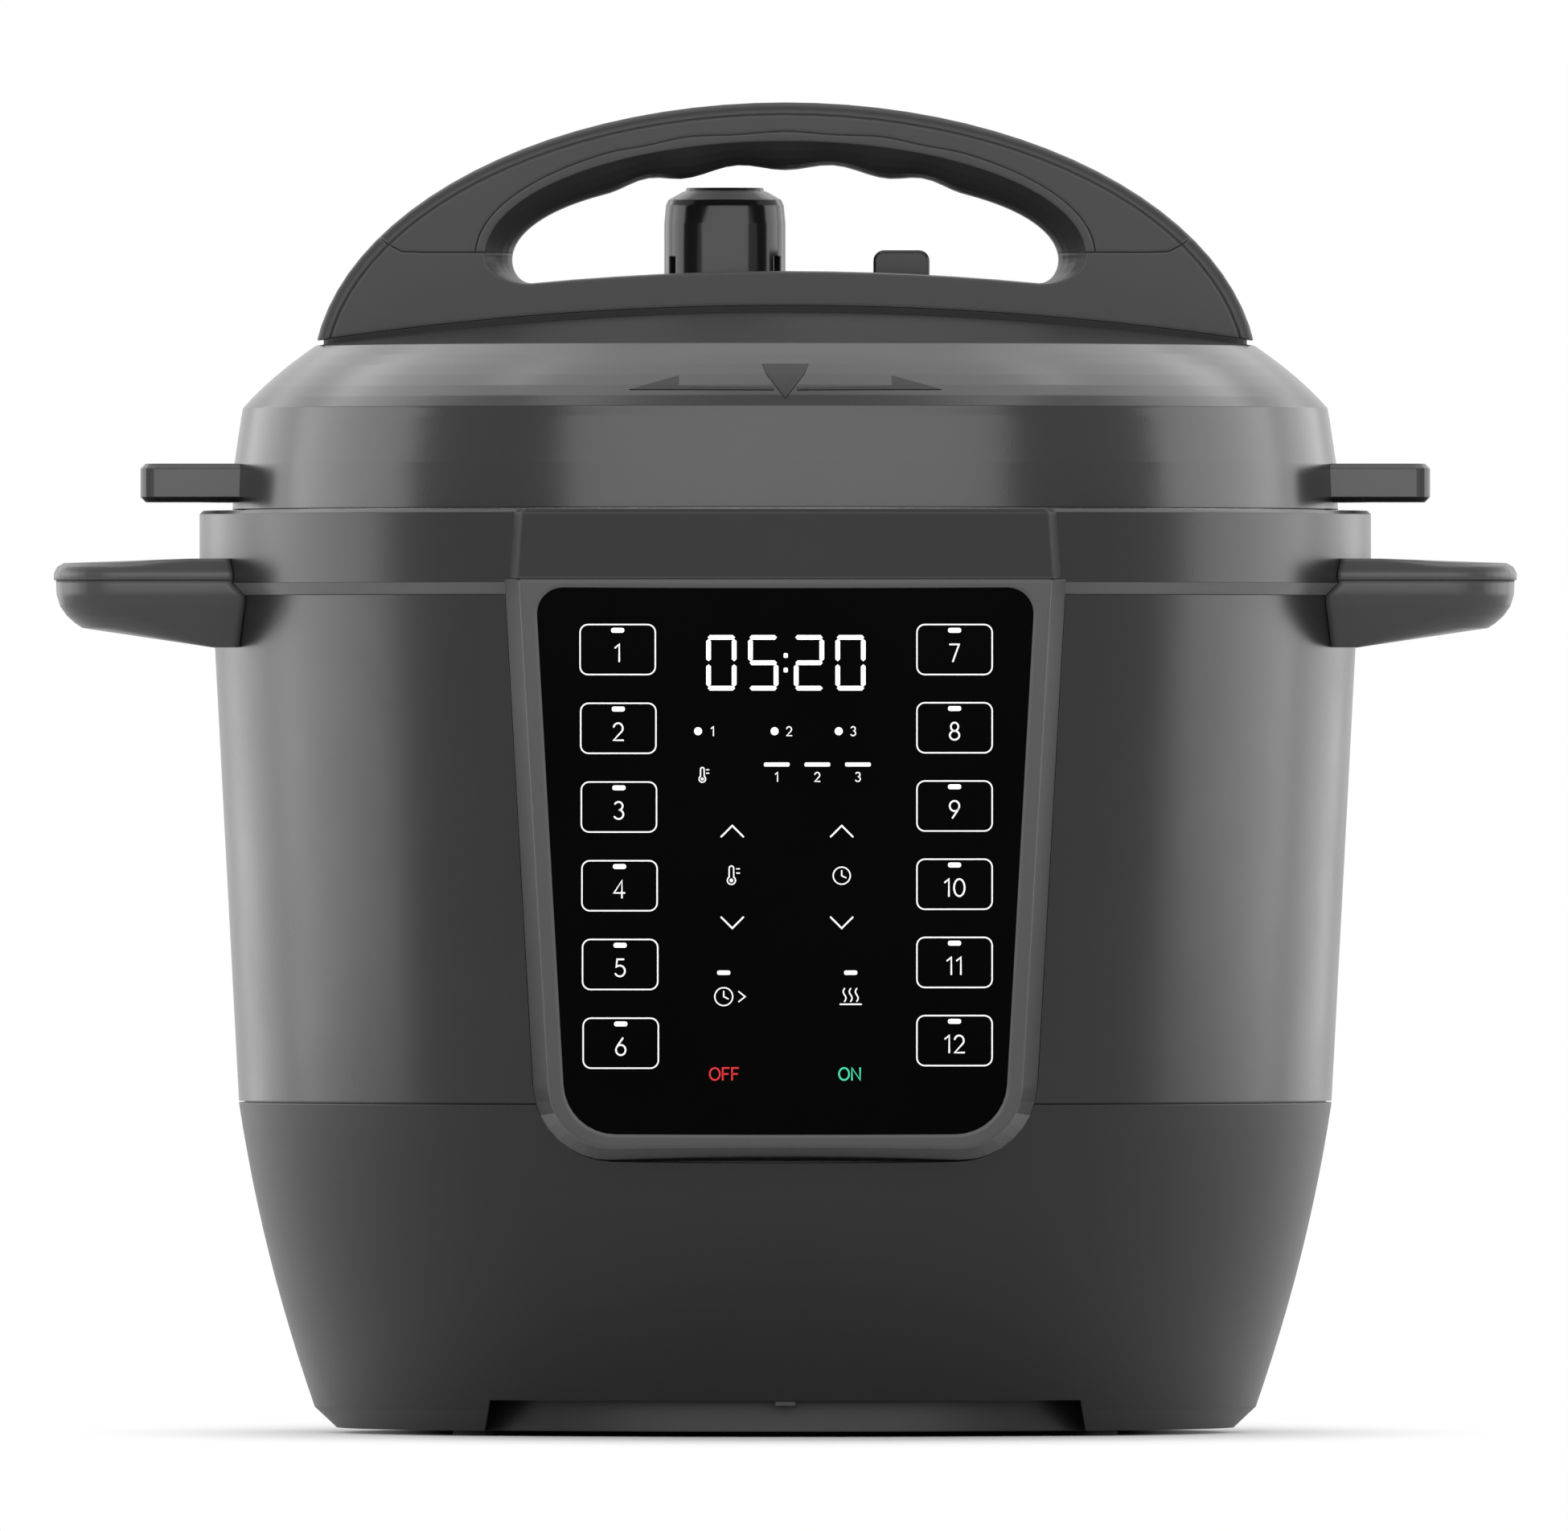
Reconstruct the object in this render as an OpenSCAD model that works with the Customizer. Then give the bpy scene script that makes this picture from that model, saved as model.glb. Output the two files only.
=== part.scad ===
// Electric pressure cooker of about six litres.
// Origin on the pot's axis at the level of the feet. +Z is up, the control panel faces -Y.

/* [Pot] */
// Inner diameter of the inner pot
pot_d = 220; // [214:0.5:222]
// Depth of the inner pot, rim to outer bottom
pot_h = 160; // [154:0.5:166]
// Wall of the inner pot
pot_wall = 1.2; // [0.8:0.1:1.4]
// Height of the inner pot's bottom above the ground
pot_lift = 57.6; // [56.5:0.1:62]
// Radial gap between the inner pot and the well
well_gap = 2.3; // [1.5:0.1:2.6]
// Sheet of the well
well_wall = 1; // [0.8:0.1:1.2]
// Ledge of the inner pot left free round the heating plate
plate_ledge = 23.2; // [21:0.1:30]
// Thickness of the heating plate
plate_t = 9.5; // [8:0.1:12]
// Radius of the temperature sensor
sensor_r = 9; // [7:0.5:10]

/* [Body] */
// Room between the well and the shell's upper edge
shell_room = 21.9; // [21.6:0.1:24]
// Narrowing of the shell's radius from its upper edge to the seam
shell_narrowing = 6.3; // [4:0.1:8]
// Narrowing of the skirt's radius from the seam to its lower chamfer
skirt_narrowing = 17.9; // [15:0.1:20]
// Height of the moulded skirt
skirt_h = 76.8; // [72:0.2:82]
// Wall of the painted shell
shell_wall = 1.2; // [0.8:0.1:1.6]
// Wall of the moulded skirt
skirt_wall = 2.6; // [2:0.1:3.4]
// Height that the feet lift the skirt
foot_lift = 1.2; // [0.8:0.1:2.5]
// Radius of each rubber foot
foot_r = 5; // [4:0.2:5.6]
// Height of the floor's underside above the skirt's lower edge
floor_lift = 7.3; // [6:0.1:9]
// Thickness of the floor
floor_t = 2.5; // [2:0.1:3.5]

/* [Collar] */
// Overhang of the collar over the shell's upper edge
collar_lip = 3; // [2:0.1:5]
// Height of the collar's upright band
collar_h = 17.2; // [16:0.1:19]
// Height of the bevel below the band
shoulder_h = 2.9; // [2:0.1:4]

/* [Bayonet] */
// Number of lugs on the lid and on the ring
lug_count = 8; // [6:1:9]
// Thickness of a lug
lug_t = 2.5; // [2:0.1:2.8]
// Upright gap between engaged lugs
lug_gap = 0.6; // [0.4:0.1:1]

/* [Lid] */
// Room between the well and the outside of the lid
lid_room = 17.1; // [16.8:0.1:18.4]
// Drawing in of the lid's side from its lower edge to its shoulder
lid_draft = 2.4; // [1.6:0.1:3]
// Width of the lid's sloped shoulder
lid_slope_w = 17.2; // [15:0.1:20]
// Gap between the collar and the lid
lid_gap = 0.3; // [0.3:0.1:0.8]
// Height of the lid's upright side
lid_side_h = 23.9; // [22:0.1:26]
// Height of the lid's sloped shoulder
lid_slope_h = 14.8; // [13:0.1:17]
// Rise of the dome
dome_h = 8.3; // [7:0.1:10]
// Wall of the lid's mouldings
lid_wall = 2.5; // [2.2:0.1:2.9]
// Reach of the lid's side fins from its edge
fin_out = 21.6; // [17:0.1:24]
// Width of the fins
fin_w = 42; // [36:0.5:46]
// Thickness of the fins
fin_t = 9.1; // [8:0.1:9.6]

/* [Arch handle] */
// Overhang of the arch's ends over the dome's edge
arch_over = 0.7; // [-1:0.1:1.5]
// Rise of the arch above its centre line
arch_b = 65.5; // [62:0.5:68]
// Depth of the arch, front to back
arch_depth = 34; // [30:0.5:36]
// Radius of the arch's outer edges
arch_round = 2.6; // [1.5:0.1:4]
// Width of the arch between its rim and the end of the grip's opening
arch_w = 47.2; // [44:0.1:52]
// Height of the grip's opening above its widest line
window_b = 21.2; // [19:0.2:22]
// Spread of the opening from its middle to its faces
window_flare = 6.6; // [4:0.2:7]
// Width of one finger wave
finger_w = 23.4; // [20:0.1:26]
// Depth of one finger wave
finger_d = 2.2; // [0:0.1:2.6]

/* [Valves] */
// Radius of the steam release knob
knob_r = 14.4; // [12:0.2:15]
// Height of the steam release knob
knob_h = 27.3; // [25:0.1:28]
// Width of the quick release button
button_w = 13.3; // [10:0.1:14]
// Travel of the quick release button
button_travel = 4; // [2:0.5:4]
// Lift of the steam release knob
vent_lift = 1.5; // [1:0.1:2]
// Travel of the float
float_travel = 5; // [3:0.5:5]

/* [Side handles] */
// Reach of the side handles from the collar
grip_out = 34.1; // [30:0.1:37]
// Width of the side handles
grip_w = 95; // [86:0.5:98]
// Height of the side handles' top shell
grip_cover_h = 4.5; // [4:0.1:5.5]
// Height of the side handles' lower shell at the outer end
grip_h = 11.2; // [10:0.1:12]

/* [Front panel] */
// Distance of the panel's face from the shell, at their upper edges
face_out = 12.1; // [11:0.1:13.5]
// Half the width of the touch panel at its upper edge
panel_half_w = 58.3; // [54:0.1:59]
// Height of the touch panel
panel_h = 127.8; // [120:0.2:128]
// Narrowing of the panel on each side per height
panel_taper = 0.056; // [0.03:0.001:0.06]
// Border of the bezel round the touch panel
bezel_w = 3.1; // [2:0.1:3.4]
// Spread of the bezel's flank from face to back
bezel_flare = 4.4; // [3:0.1:5]
// Thickness of the touch panel
panel_t = 2; // [1.5:0.1:2.5]
// Radius of the panel's bulge from side to side
face_r = 420; // [380:10:900]

/* [Rear] */
// Width of the condensation cup
cup_w = 56; // [48:0.5:60]
// Height of the condensation cup
cup_h = 40; // [32:0.5:46]
// Distance of the cup's face from the shell's upper edge
cup_out = 16.6; // [13:0.1:20]
// Travel of the condensation cup as it comes off
cup_travel = 50; // [45:1:60]
// Width of the mains inlet's opening
inlet_w = 24.4; // [24:0.1:25]
// Height of the mains inlet's opening
inlet_h = 16.4; // [16:0.1:17]

/* [Hidden] */
$fn = 144;
// Clearance of parts that are fixed to each other
fit = 0.15;
// Clearance of the shell's edge in the collar's groove
groove_gap = 0.25;
// Clearance of a shaft in its hole
run = 0.1;
// Clearance of loose moving parts
loose = 0.4;
// Clearance of a screw in the hole that it cuts its thread in
thread = 0.02;

// Levels, from the feet up
skirt_z = foot_lift;
floor_z = skirt_z + floor_lift;
floor_top_z = floor_z + floor_t;
seam_z = skirt_z + skirt_h;
pot_z = pot_lift;
rim_t = 1.6;
rim_z = pot_z + pot_h - rim_t;
collar_z = rim_z + 1.7;
band_z = collar_z - collar_h;
shoulder_z = band_z - shoulder_h;
shell_h = shoulder_z - seam_z;
lid_z = collar_z + lid_gap;
edge_z = lid_z + lid_side_h;
dome_z = edge_z + lid_slope_h;
apex_z = dome_z + dome_h;
lug_z = rim_z - lug_t;
tab_z = lug_z - lug_gap - lug_t;
plate_top_z = pot_z - loose;
plate_z = plate_top_z - plate_t;
well_z = plate_z - well_wall;

// Radii, from the pot out
pot_r = pot_d / 2 + pot_wall;
plate_r = pot_r - plate_ledge;
well_r = pot_r + well_gap;
well_out_r = well_r + well_wall;
pot_rim_r = well_r + 4.5;
ring_r = well_r + 5.5;
lid_r = well_r + lid_room;
lid_edge_r = lid_r - lid_draft;
dome_r = lid_edge_r - lid_slope_w;
steel_r = lid_r - lid_wall - 0.5;
steel_t = 1.5;
lug_r = steel_r - steel_t - 1.1;
tab_in_r = ring_r + 1;
mouth_r = steel_r + 1.7;
shell_top_r = well_r + shell_room;
collar_r = shell_top_r + collar_lip;
seam_r = shell_top_r - shell_narrowing;
skirt_foot_r = seam_r - skirt_narrowing;
grip_reach = collar_r + grip_out;
fin_reach = lid_r + fin_out;
face_y = shell_top_r + face_out;
arch_a = dome_r + arch_over;
window_a = arch_a - arch_w;
open_angle = 180 / lug_count;
taper_angle = atan((shell_top_r - seam_r) / shell_h);

// Radius of the shell at a height
function shell_r(z) = seam_r + (shell_top_r - seam_r) * (z - seam_z) / shell_h;

// Radius of the skirt at a height: a straight taper that curls in towards the foot
chamfer_h = 4.9;
function skirt_t(z) = (seam_z - z) / (skirt_h - chamfer_h);
function skirt_r(z) = seam_r - (seam_r - skirt_foot_r) * (0.6 * skirt_t(z) + 0.4 * pow(skirt_t(z), 2));

// Points of an ellipse with semi-axes a and b and its centre at height c
function ellipse_points(a, b, c, n = 96) = [
    for (i = [0 : n - 1]) let (t = 360 * i / n) [a * cos(t), c + b * sin(t)]
];

// Points of an arc with centre c and radius r
function arc_points(c, r, from, to, n = 8) = [
    for (i = [0 : n]) let (t = from + (to - from) * i / n) c + r * [cos(t), sin(t)]
];

// Points of a rectangle with rounded corners, lower corner p, size s
function round_rect(p, s, r, n = 6) = concat(
    arc_points(p + [s[0] - r, s[1] - r], r, 0, 90, n),
    arc_points(p + [r, s[1] - r], r, 90, 180, n),
    arc_points(p + [r, r], r, 180, 270, n),
    arc_points(p + [s[0] - r, r], r, 270, 360, n)
);

// Rings of equal length joined into one closed skin
module skin(rings) {
    n = len(rings[0]);
    m = len(rings);
    polyhedron(
        points = [for (ring = rings) each ring],
        faces = concat(
            [[for (j = [0 : n - 1]) j]],
            [for (i = [0 : m - 2], j = [0 : n - 1], half = [0, 1])
                let (a = i * n + j, b = i * n + (j + 1) % n)
                half == 0 ? [a, a + n, b + n] : [a, b + n, b]],
            [[for (j = [n - 1 : -1 : 0]) (m - 1) * n + j]]
        )
    );
}

// Copies at equal angles round the axis
module around(count, start = 0) {
    for (i = [0 : count - 1]) rotate([0, 0, start + 360 * i / count]) children();
}

// A ring with its axis on Z
module tube(r_out, r_in, z0, z1) {
    translate([0, 0, z0]) linear_extrude(z1 - z0) difference() {
        circle(r_out);
        circle(r_in);
    }
}

// A slab with chamfered upper and lower edges over a rounded plan
module soft_slab(p, s, r, z0, z1, c) {
    hull() {
        translate([0, 0, z0 + c]) linear_extrude(z1 - z0 - 2 * c) polygon(round_rect(p, s, r));
        translate([0, 0, z0]) linear_extrude(z1 - z0) polygon(round_rect(p + [c, c], s - 2 * [c, c], r - c));
    }
}

// A sector of a circle, from the axis out
module sector(r, angle) {
    polygon(concat([[0, 0]], arc_points([0, 0], r, -angle / 2, angle / 2, 8)));
}

// A coil of round wire, standing on z = 0
module coil(r, wire, height, turns) {
    steps = 12 * turns;
    skin([for (i = [0 : steps]) let (a = 360 * turns * i / steps, z = wire + (height - 2 * wire) * i / steps)
        [for (j = [5 : -1 : 0]) let (d = r + wire * cos(60 * j))
            [d * cos(a), d * sin(a), z + wire * sin(60 * j)]]]);
}

// Plan or section turned so that the extrusion runs towards -Y, with its second axis upright
module upright() {
    rotate([90, 0, 0]) children();
}

// Solid of the cooker's outside, grown by a clearance, to seat what is fixed to it
module body_solid(clear = 0) {
    rotate_extrude() polygon([
        [0, seam_z - 5], [seam_r + clear, seam_z - 5], [seam_r + clear, seam_z],
        [shell_top_r + clear, shoulder_z - 0.1], [shell_top_r + groove_gap + clear, shoulder_z],
        [collar_r + clear, band_z], [collar_r + clear, collar_z + 5], [0, collar_z + 5]
    ]);
}

// ---------- Front panel's frame ----------

panel_z = band_z - 1.6;
frame_top = 2.3;
edge_depth = 5.4;
flank_depth = 22;
cavity_depth = 5;
board_depth = 12;

// Outline on the panel's face: a trapezoid with rounded corners that narrows downwards
function panel_points(half_w, top, bottom, r_top, r_bottom) =
    let (lean = atan(panel_taper), side = 1 / cos(lean))
    let (wt = half_w - r_top * (panel_taper + side))
    let (wb = half_w - (top - bottom - r_bottom) * panel_taper - r_bottom * side)
    concat(
        arc_points([wt, top - r_top], r_top, -lean, 90),
        arc_points([-wt, top - r_top], r_top, 90, 180 + lean),
        arc_points([-wb, bottom + r_bottom], r_bottom, 180 + lean, 270),
        arc_points([wb, bottom + r_bottom], r_bottom, 270, 360 - lean)
    );

// Outline of the touch panel, grown by a border
function screen_points(grow) = panel_points(panel_half_w + grow, grow, -panel_h - grow, 6 + grow, 12 + grow);

// Outline of the bezel's front and of its back
function bezel_points(grow) =
    panel_points(panel_half_w + bezel_w + grow, frame_top, -panel_h - bezel_w - grow, 1, 14 + grow);

// Places an extrusion that starts at a depth behind the panel's face and runs towards the front
module on_panel(depth) {
    translate([0, -face_y, panel_z]) rotate([taper_angle, 0, 0])
        translate([0, depth, 0]) upright() children();
}

// Solid behind the bulging face, from a depth inwards
module behind_face(depth) {
    on_panel(0) translate([0, -200, -face_r]) rotate([-90, 0, 0])
        cylinder(r = face_r - depth, h = 300, $fn = 360);
}

// Block that the housing fills where it passes through shell and skirt
module panel_block(clear = 0) {
    on_panel(flank_depth + 40) linear_extrude(flank_depth + 30) polygon(bezel_points(bezel_flare + clear));
}

// ---------- Skirt and feet ----------

rim_in_r = skirt_foot_r - 19.2;
foot_pos_r = rim_in_r + foot_r + 0.5;
foot_angle = 48.6;
foot_seat = 3;
notch_w = 2 * (foot_pos_r * sin(foot_angle) - 3.8);
notch_r = foot_pos_r + foot_r + 0.5;
inlet_body = [inlet_w + 11.6, inlet_h + 11.6];
inlet_z = well_z - inlet_body[1] / 2 - 0.7;
inlet_back_y = skirt_foot_r - 19.2;
boss_r = 5;
boss_pos_r = well_r - 17.5;
boss_angle = 30;
shield_z = well_z - 6;
screw_r = 2;
screw_head_z = well_z - 9;
board_size = [84, 56];
board_pos = [0, inlet_back_y - 36];
board_z = floor_top_z + 11;
board_t = 1.6;

module at_feet() {
    place = foot_pos_r * [sin(foot_angle), cos(foot_angle)];
    for (sx = [-1, 1], sy = [-1, 1]) translate([sx * place[0], sy * place[1], 0]) children();
}

module at_bosses() {
    place = boss_pos_r * [cos(boss_angle), sin(boss_angle)];
    for (sx = [-1, 1], sy = [-1, 1]) translate([sx * place[0], sy * place[1], 0]) children();
}

module at_board_corners() {
    place = board_size / 2 - [4, 4];
    for (sx = [-1, 1], sy = [-1, 1])
        translate([board_pos[0] + sx * place[0], board_pos[1] + sy * place[1], 0]) children();
}

// Outline of the skirt's outside, without its hollow
function skirt_outline() = concat(
    [[0, skirt_z], [skirt_foot_r - chamfer_h - 0.3, skirt_z]],
    [for (i = [0 : 12]) let (z = skirt_z + chamfer_h + (skirt_h - chamfer_h) * i / 12) [skirt_r(z), z]],
    [[0, seam_z]]
);

// Hollow of the skirt above its floor
function skirt_hollow() = concat(
    [[0, floor_top_z], [skirt_r(floor_top_z) - skirt_wall - 1, floor_top_z]],
    [for (i = [0 : 10]) let (z = floor_top_z + 1 + (seam_z - floor_top_z - 1) * i / 10)
        [skirt_r(z) - skirt_wall, z]],
    [[seam_r - skirt_wall, seam_z + 1], [0, seam_z + 1]]
);

module skirt_walls() {
    difference() {
        rotate_extrude() polygon(skirt_outline());
        rotate_extrude() polygon(skirt_hollow());
        translate([0, 0, skirt_z - 1]) cylinder(r = rim_in_r, h = floor_lift + 1);
        // Notch in the front of the rim
        difference() {
            upright() linear_extrude(seam_r) polygon([
                [-notch_w / 2 - 1.5, 0], [notch_w / 2 + 1.5, 0], [notch_w / 2, floor_z],
                [-notch_w / 2, floor_z]
            ]);
            cylinder(r = notch_r, h = seam_z);
        }
    }
    // Tab at the middle of the notch
    translate([-2.4, -skirt_r(floor_z) + 0.5, floor_z - 1.2]) cube([4.8, 2, 2]);
    // Lip that stands up inside the shell
    tube(seam_r - shell_wall - fit, seam_r - skirt_wall - 1.4, seam_z - 3, seam_z + 5);
    at_bosses() {
        translate([0, 0, floor_z + 1]) cylinder(r = boss_r + 2, h = shield_z - floor_z - 1);
        translate([0, 0, floor_z + 1]) cylinder(r = boss_r, h = well_z - floor_z - 1);
    }
    at_board_corners() translate([0, 0, floor_z + 1]) cylinder(r = 3, h = board_z - floor_z - 1, $fn = 48);
}

module base_skirt() color([0.27, 0.27, 0.27]) difference() {
    skirt_walls();
    at_bosses() {
        translate([0, 0, floor_z - 1]) cylinder(r = 4, h = screw_head_z - floor_z + 1, $fn = 48);
        translate([0, 0, floor_z]) cylinder(r = screw_r + run, h = well_z, $fn = 48);
    }
    at_feet() translate([0, 0, skirt_z - 1]) cylinder(r = foot_r + run, h = foot_seat + 1, $fn = 48);
    translate([-inlet_body[0] / 2, 60, inlet_z - inlet_body[1] / 2])
        cube([inlet_body[0], seam_r, inlet_body[1]]);
    panel_block(fit);
    // Air slots in the floor
    for (i = [-4 : 4]) translate([i * 8 - 1.5, -45, floor_z - 1]) cube([3, 50, floor_t + 2]);
}

module feet() color([0.1, 0.1, 0.1]) at_feet() cylinder(r = foot_r, h = skirt_z + foot_seat, $fn = 48);

module base_screws() color([0.7, 0.7, 0.7]) at_bosses() {
    translate([0, 0, screw_head_z - 2.2]) cylinder(r = 3.6, h = 2.2, $fn = 48);
    translate([0, 0, screw_head_z - 1]) cylinder(r = screw_r, h = well_z + 4 - screw_head_z + 1, $fn = 48);
}

// ---------- Shell and collar ----------

shell_end_z = band_z - 0.6;
well_seat_r = well_out_r + 3.5;
channel_z = tab_z - 5;
channel_floor_t = 3;
shelf_w = cup_w + 11;
shelf_z = shoulder_z - 1;
shelf_h = channel_z - shelf_z + 1;
cup_y = shell_top_r + cup_out;
rail_h = 26;
spout_y = (shell_top_r + cup_y) / 2;
drain_y = (well_seat_r + mouth_r) / 2;

module body_shell() color([0.45, 0.45, 0.45]) difference() {
    rotate_extrude() polygon([
        [shell_r(seam_z) - shell_wall, seam_z + 0.4], [shell_r(seam_z), seam_z + 0.4],
        [shell_r(shell_end_z), shell_end_z], [shell_r(shell_end_z) - shell_wall, shell_end_z]
    ]);
    panel_block(fit);
}

// Section of the collar, with the gutter that the lid's lugs run in
module collar_section() {
    polygon([
        [well_out_r + fit, channel_z - channel_floor_t], [mouth_r + 2.5, channel_z - channel_floor_t],
        [mouth_r + 2.5, shoulder_z + 0.5], [shell_top_r - shell_wall - 0.5, shoulder_z + 0.5],
        [shell_top_r - shell_wall - 0.5, band_z], [shell_top_r + groove_gap, band_z],
        [shell_top_r + groove_gap, shoulder_z],
        [collar_r, band_z], [collar_r, collar_z - 0.8], [collar_r - 0.8, collar_z], [mouth_r, collar_z],
        [mouth_r, channel_z], [well_seat_r, channel_z], [well_seat_r, lug_z], [well_out_r + fit, lug_z]
    ]);
}

// Plan of the two rails that hold the condensation cup
module rail_plan() {
    for (s = [-1, 1]) difference() {
        translate([s * (cup_w / 2 + 3), spout_y]) square([5, cup_y - shell_top_r - 1], center = true);
        translate([s * (cup_w / 2 + 1.5), spout_y]) square([3, 3 + 2 * loose], center = true);
    }
}

module upper_rim() color([0.42, 0.42, 0.42]) difference() {
    union() {
        rotate_extrude() collar_section();
        // Shelf and rails of the condensation cup
        difference() {
            union() {
                translate([-shelf_w / 2, shell_top_r - 8, shelf_z])
                    cube([shelf_w, cup_y - shell_top_r + 8, shelf_h]);
                translate([0, 0, shelf_z - rail_h]) linear_extrude(rail_h + 1) rail_plan();
            }
            cylinder(r = shell_top_r + 0.25, h = band_z);
            cylinder(r = mouth_r + 2, h = collar_z);
        }
    }
    // Drain from the gutter to the cup
    translate([-3, drain_y, channel_z - 2]) cube([6, spout_y - drain_y + 3, 3]);
    translate([-3, spout_y - 3, shelf_z - 1]) cube([6, 6, shelf_h]);
}

// ---------- Front panel ----------

badge_z = panel_z + frame_top + 0.1;
badge_y = face_y + 0.5;

// Plan of the bare plate over the panel: a bulging front edge, flared flanks and a back edge
function badge_plan(half_w, inset, z) = concat(
    [for (i = [-6 : 6]) let (x = (half_w - inset) * i / 6, sag = face_r - sqrt(face_r * face_r - x * x))
        [x, -badge_y + inset + sag, z]],
    [[half_w + 1.8 - inset, -collar_r * cos(28), z], [-half_w - 1.8 + inset, -collar_r * cos(28), z]]
);

module badge_plate() color([0.23, 0.23, 0.23]) difference() {
    skin([
        badge_plan(panel_half_w + 4.6, 0, badge_z),
        badge_plan(panel_half_w + 3.5, 0, collar_z - 1),
        badge_plan(panel_half_w + 3.4, 0.9, collar_z)
    ]);
    cylinder(r = collar_r + fit, h = collar_z + 5);
}

display_size = [46, 22];
display_v = -18;
display_depth = panel_t + 0.9;

module front_housing() color([0.4, 0.4, 0.4]) difference() {
    intersection() {
        hull() {
            on_panel(edge_depth) linear_extrude(edge_depth) polygon(bezel_points(0));
            on_panel(flank_depth + 14) linear_extrude(14) polygon(bezel_points(bezel_flare));
        }
        behind_face(0);
    }
    // Seat of the touch panel
    difference() {
        on_panel(20) linear_extrude(30) polygon(screen_points(fit));
        behind_face(panel_t + 0.05);
    }
    // Hollow behind the face
    intersection() {
        on_panel(60) linear_extrude(60) polygon(screen_points(-2));
        behind_face(cavity_depth);
    }
    // Window of the display
    on_panel(20) translate([0, display_v]) linear_extrude(30) square(display_size, center = true);
    // Room for the plate on top, the collar and the well
    translate([-collar_r, -face_y - 5, badge_z - 0.1]) cube([2 * collar_r, face_y, frame_top + flank_depth]);
    translate([0, 0, shoulder_z - 0.1]) cylinder(r = collar_r + fit, h = 30);
    translate([0, 0, skirt_z]) cylinder(r = well_out_r + 3, h = collar_z);
}

module touch_panel() color([0.04, 0.04, 0.05]) difference() {
    intersection() {
        on_panel(20) linear_extrude(30) polygon(screen_points(0));
        behind_face(0);
    }
    behind_face(panel_t);
}

module display_module() color([0.15, 0.15, 0.16])
    on_panel(board_depth) translate([0, display_v])
        linear_extrude(board_depth - display_depth) square(display_size - [1, 1], center = true);

board_half = [46, 54];
board_v = -62;

module control_board() color([0.1, 0.35, 0.2]) {
    on_panel(board_depth + 1.6) translate([0, board_v]) linear_extrude(1.6)
        square(2 * board_half, center = true);
    // Posts that stand on the back of the housing's face
    intersection() {
        on_panel(board_depth) for (sx = [-1, 1], sy = [-1, 0, 1])
            translate([sx * (board_half[0] - 5), board_v + sy * (board_half[1] - 14)])
                linear_extrude(board_depth) circle(3, $fn = 32);
        behind_face(cavity_depth + 0.02);
    }
}

// ---------- Side handles ----------

grip_z = band_z + 0.7;
grip_corner = 19;
grip_root_x = mouth_r - 34.3;
grip_root_w = 40;
slot_x = collar_r + 4.1;
slot_w = fin_t + 0.9;
slot_floor_z = grip_z - grip_h + 2.2;

// Plan of a side handle, drawn in by an inset
module grip_plan(inset) {
    depth = grip_reach - inset - grip_root_x;
    polygon(round_rect([grip_root_x, -grip_w / 2 + inset], [depth, grip_w - 2 * inset], grip_corner - inset,
        12));
}

// Slot that holds the lid's fin when the lid stands on end
module fin_slot() {
    translate([slot_x, -fin_w / 2 - 1, slot_floor_z]) cube([slot_w, fin_w + 2, 40]);
}

module handle_grip() {
    difference() {
        hull() {
            for (t = [0, 0.3, 0.55, 0.75, 0.9, 1])
                translate([0, 0, grip_z - grip_h * t]) linear_extrude(0.01) grip_plan(0.5 + 6.2 * t * t * t);
            translate([grip_root_x, -grip_w / 2 + 7, grip_z - grip_h - 4.6])
                cube([grip_root_w, grip_w - 14, 4]);
        }
        body_solid(fit);
        fin_slot();
    }
}

module handle_cover() {
    difference() {
        hull() {
            translate([0, 0, grip_z + 0.1]) linear_extrude(1.6) grip_plan(0);
            translate([0, 0, grip_z + 0.1]) linear_extrude(grip_cover_h - 1.4) grip_plan(0.8);
            translate([0, 0, grip_z + 0.1]) linear_extrude(grip_cover_h - 0.5) grip_plan(2.4);
            translate([grip_root_x, -grip_w / 2 + 2, grip_z + 0.1])
                cube([grip_root_w + 5, grip_w - 4, grip_cover_h + 0.5]);
        }
        body_solid(fit);
        fin_slot();
    }
}

module handle_cover_left() color([0.39, 0.39, 0.39]) mirror([1, 0, 0]) handle_cover();
module handle_cover_right() color([0.39, 0.39, 0.39]) handle_cover();
module handle_grip_left() color([0.33, 0.33, 0.33]) mirror([1, 0, 0]) handle_grip();
module handle_grip_right() color([0.33, 0.33, 0.33]) handle_grip();

// ---------- Well, heater and electrics ----------

lug_angle = 360 / lug_count * 0.42;
element_r = 50;
element_w = 10;
element_h = 5;
well_open_r = element_r + element_w / 2 + 5;
plate_hole_r = sensor_r + 0.6;
sensor_stem_r = 4;
bracket_t = 1.2;
bracket_r = sensor_r + bracket_t + 1.2;
bracket_z = well_z - 15.5;
module outer_pot() color([0.6, 0.6, 0.62]) difference() {
    rotate_extrude() polygon([
        [well_open_r, well_z], [well_out_r - 4, well_z], [well_out_r, well_z + 4], [well_out_r, lug_z],
        [well_r, lug_z], [well_r, well_z + 4.4], [well_r - 3.4, well_z + well_wall],
        [well_open_r, well_z + well_wall]
    ]);
    at_bosses() translate([0, 0, well_z - 1]) cylinder(r = screw_r + run, h = 5, $fn = 48);
}

module lug_ring() color([0.7, 0.7, 0.72]) translate([0, 0, lug_z]) linear_extrude(lug_t) difference() {
    union() {
        circle(ring_r);
        around(lug_count) sector(lug_r, lug_angle);
    }
    circle(well_r);
}

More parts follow.
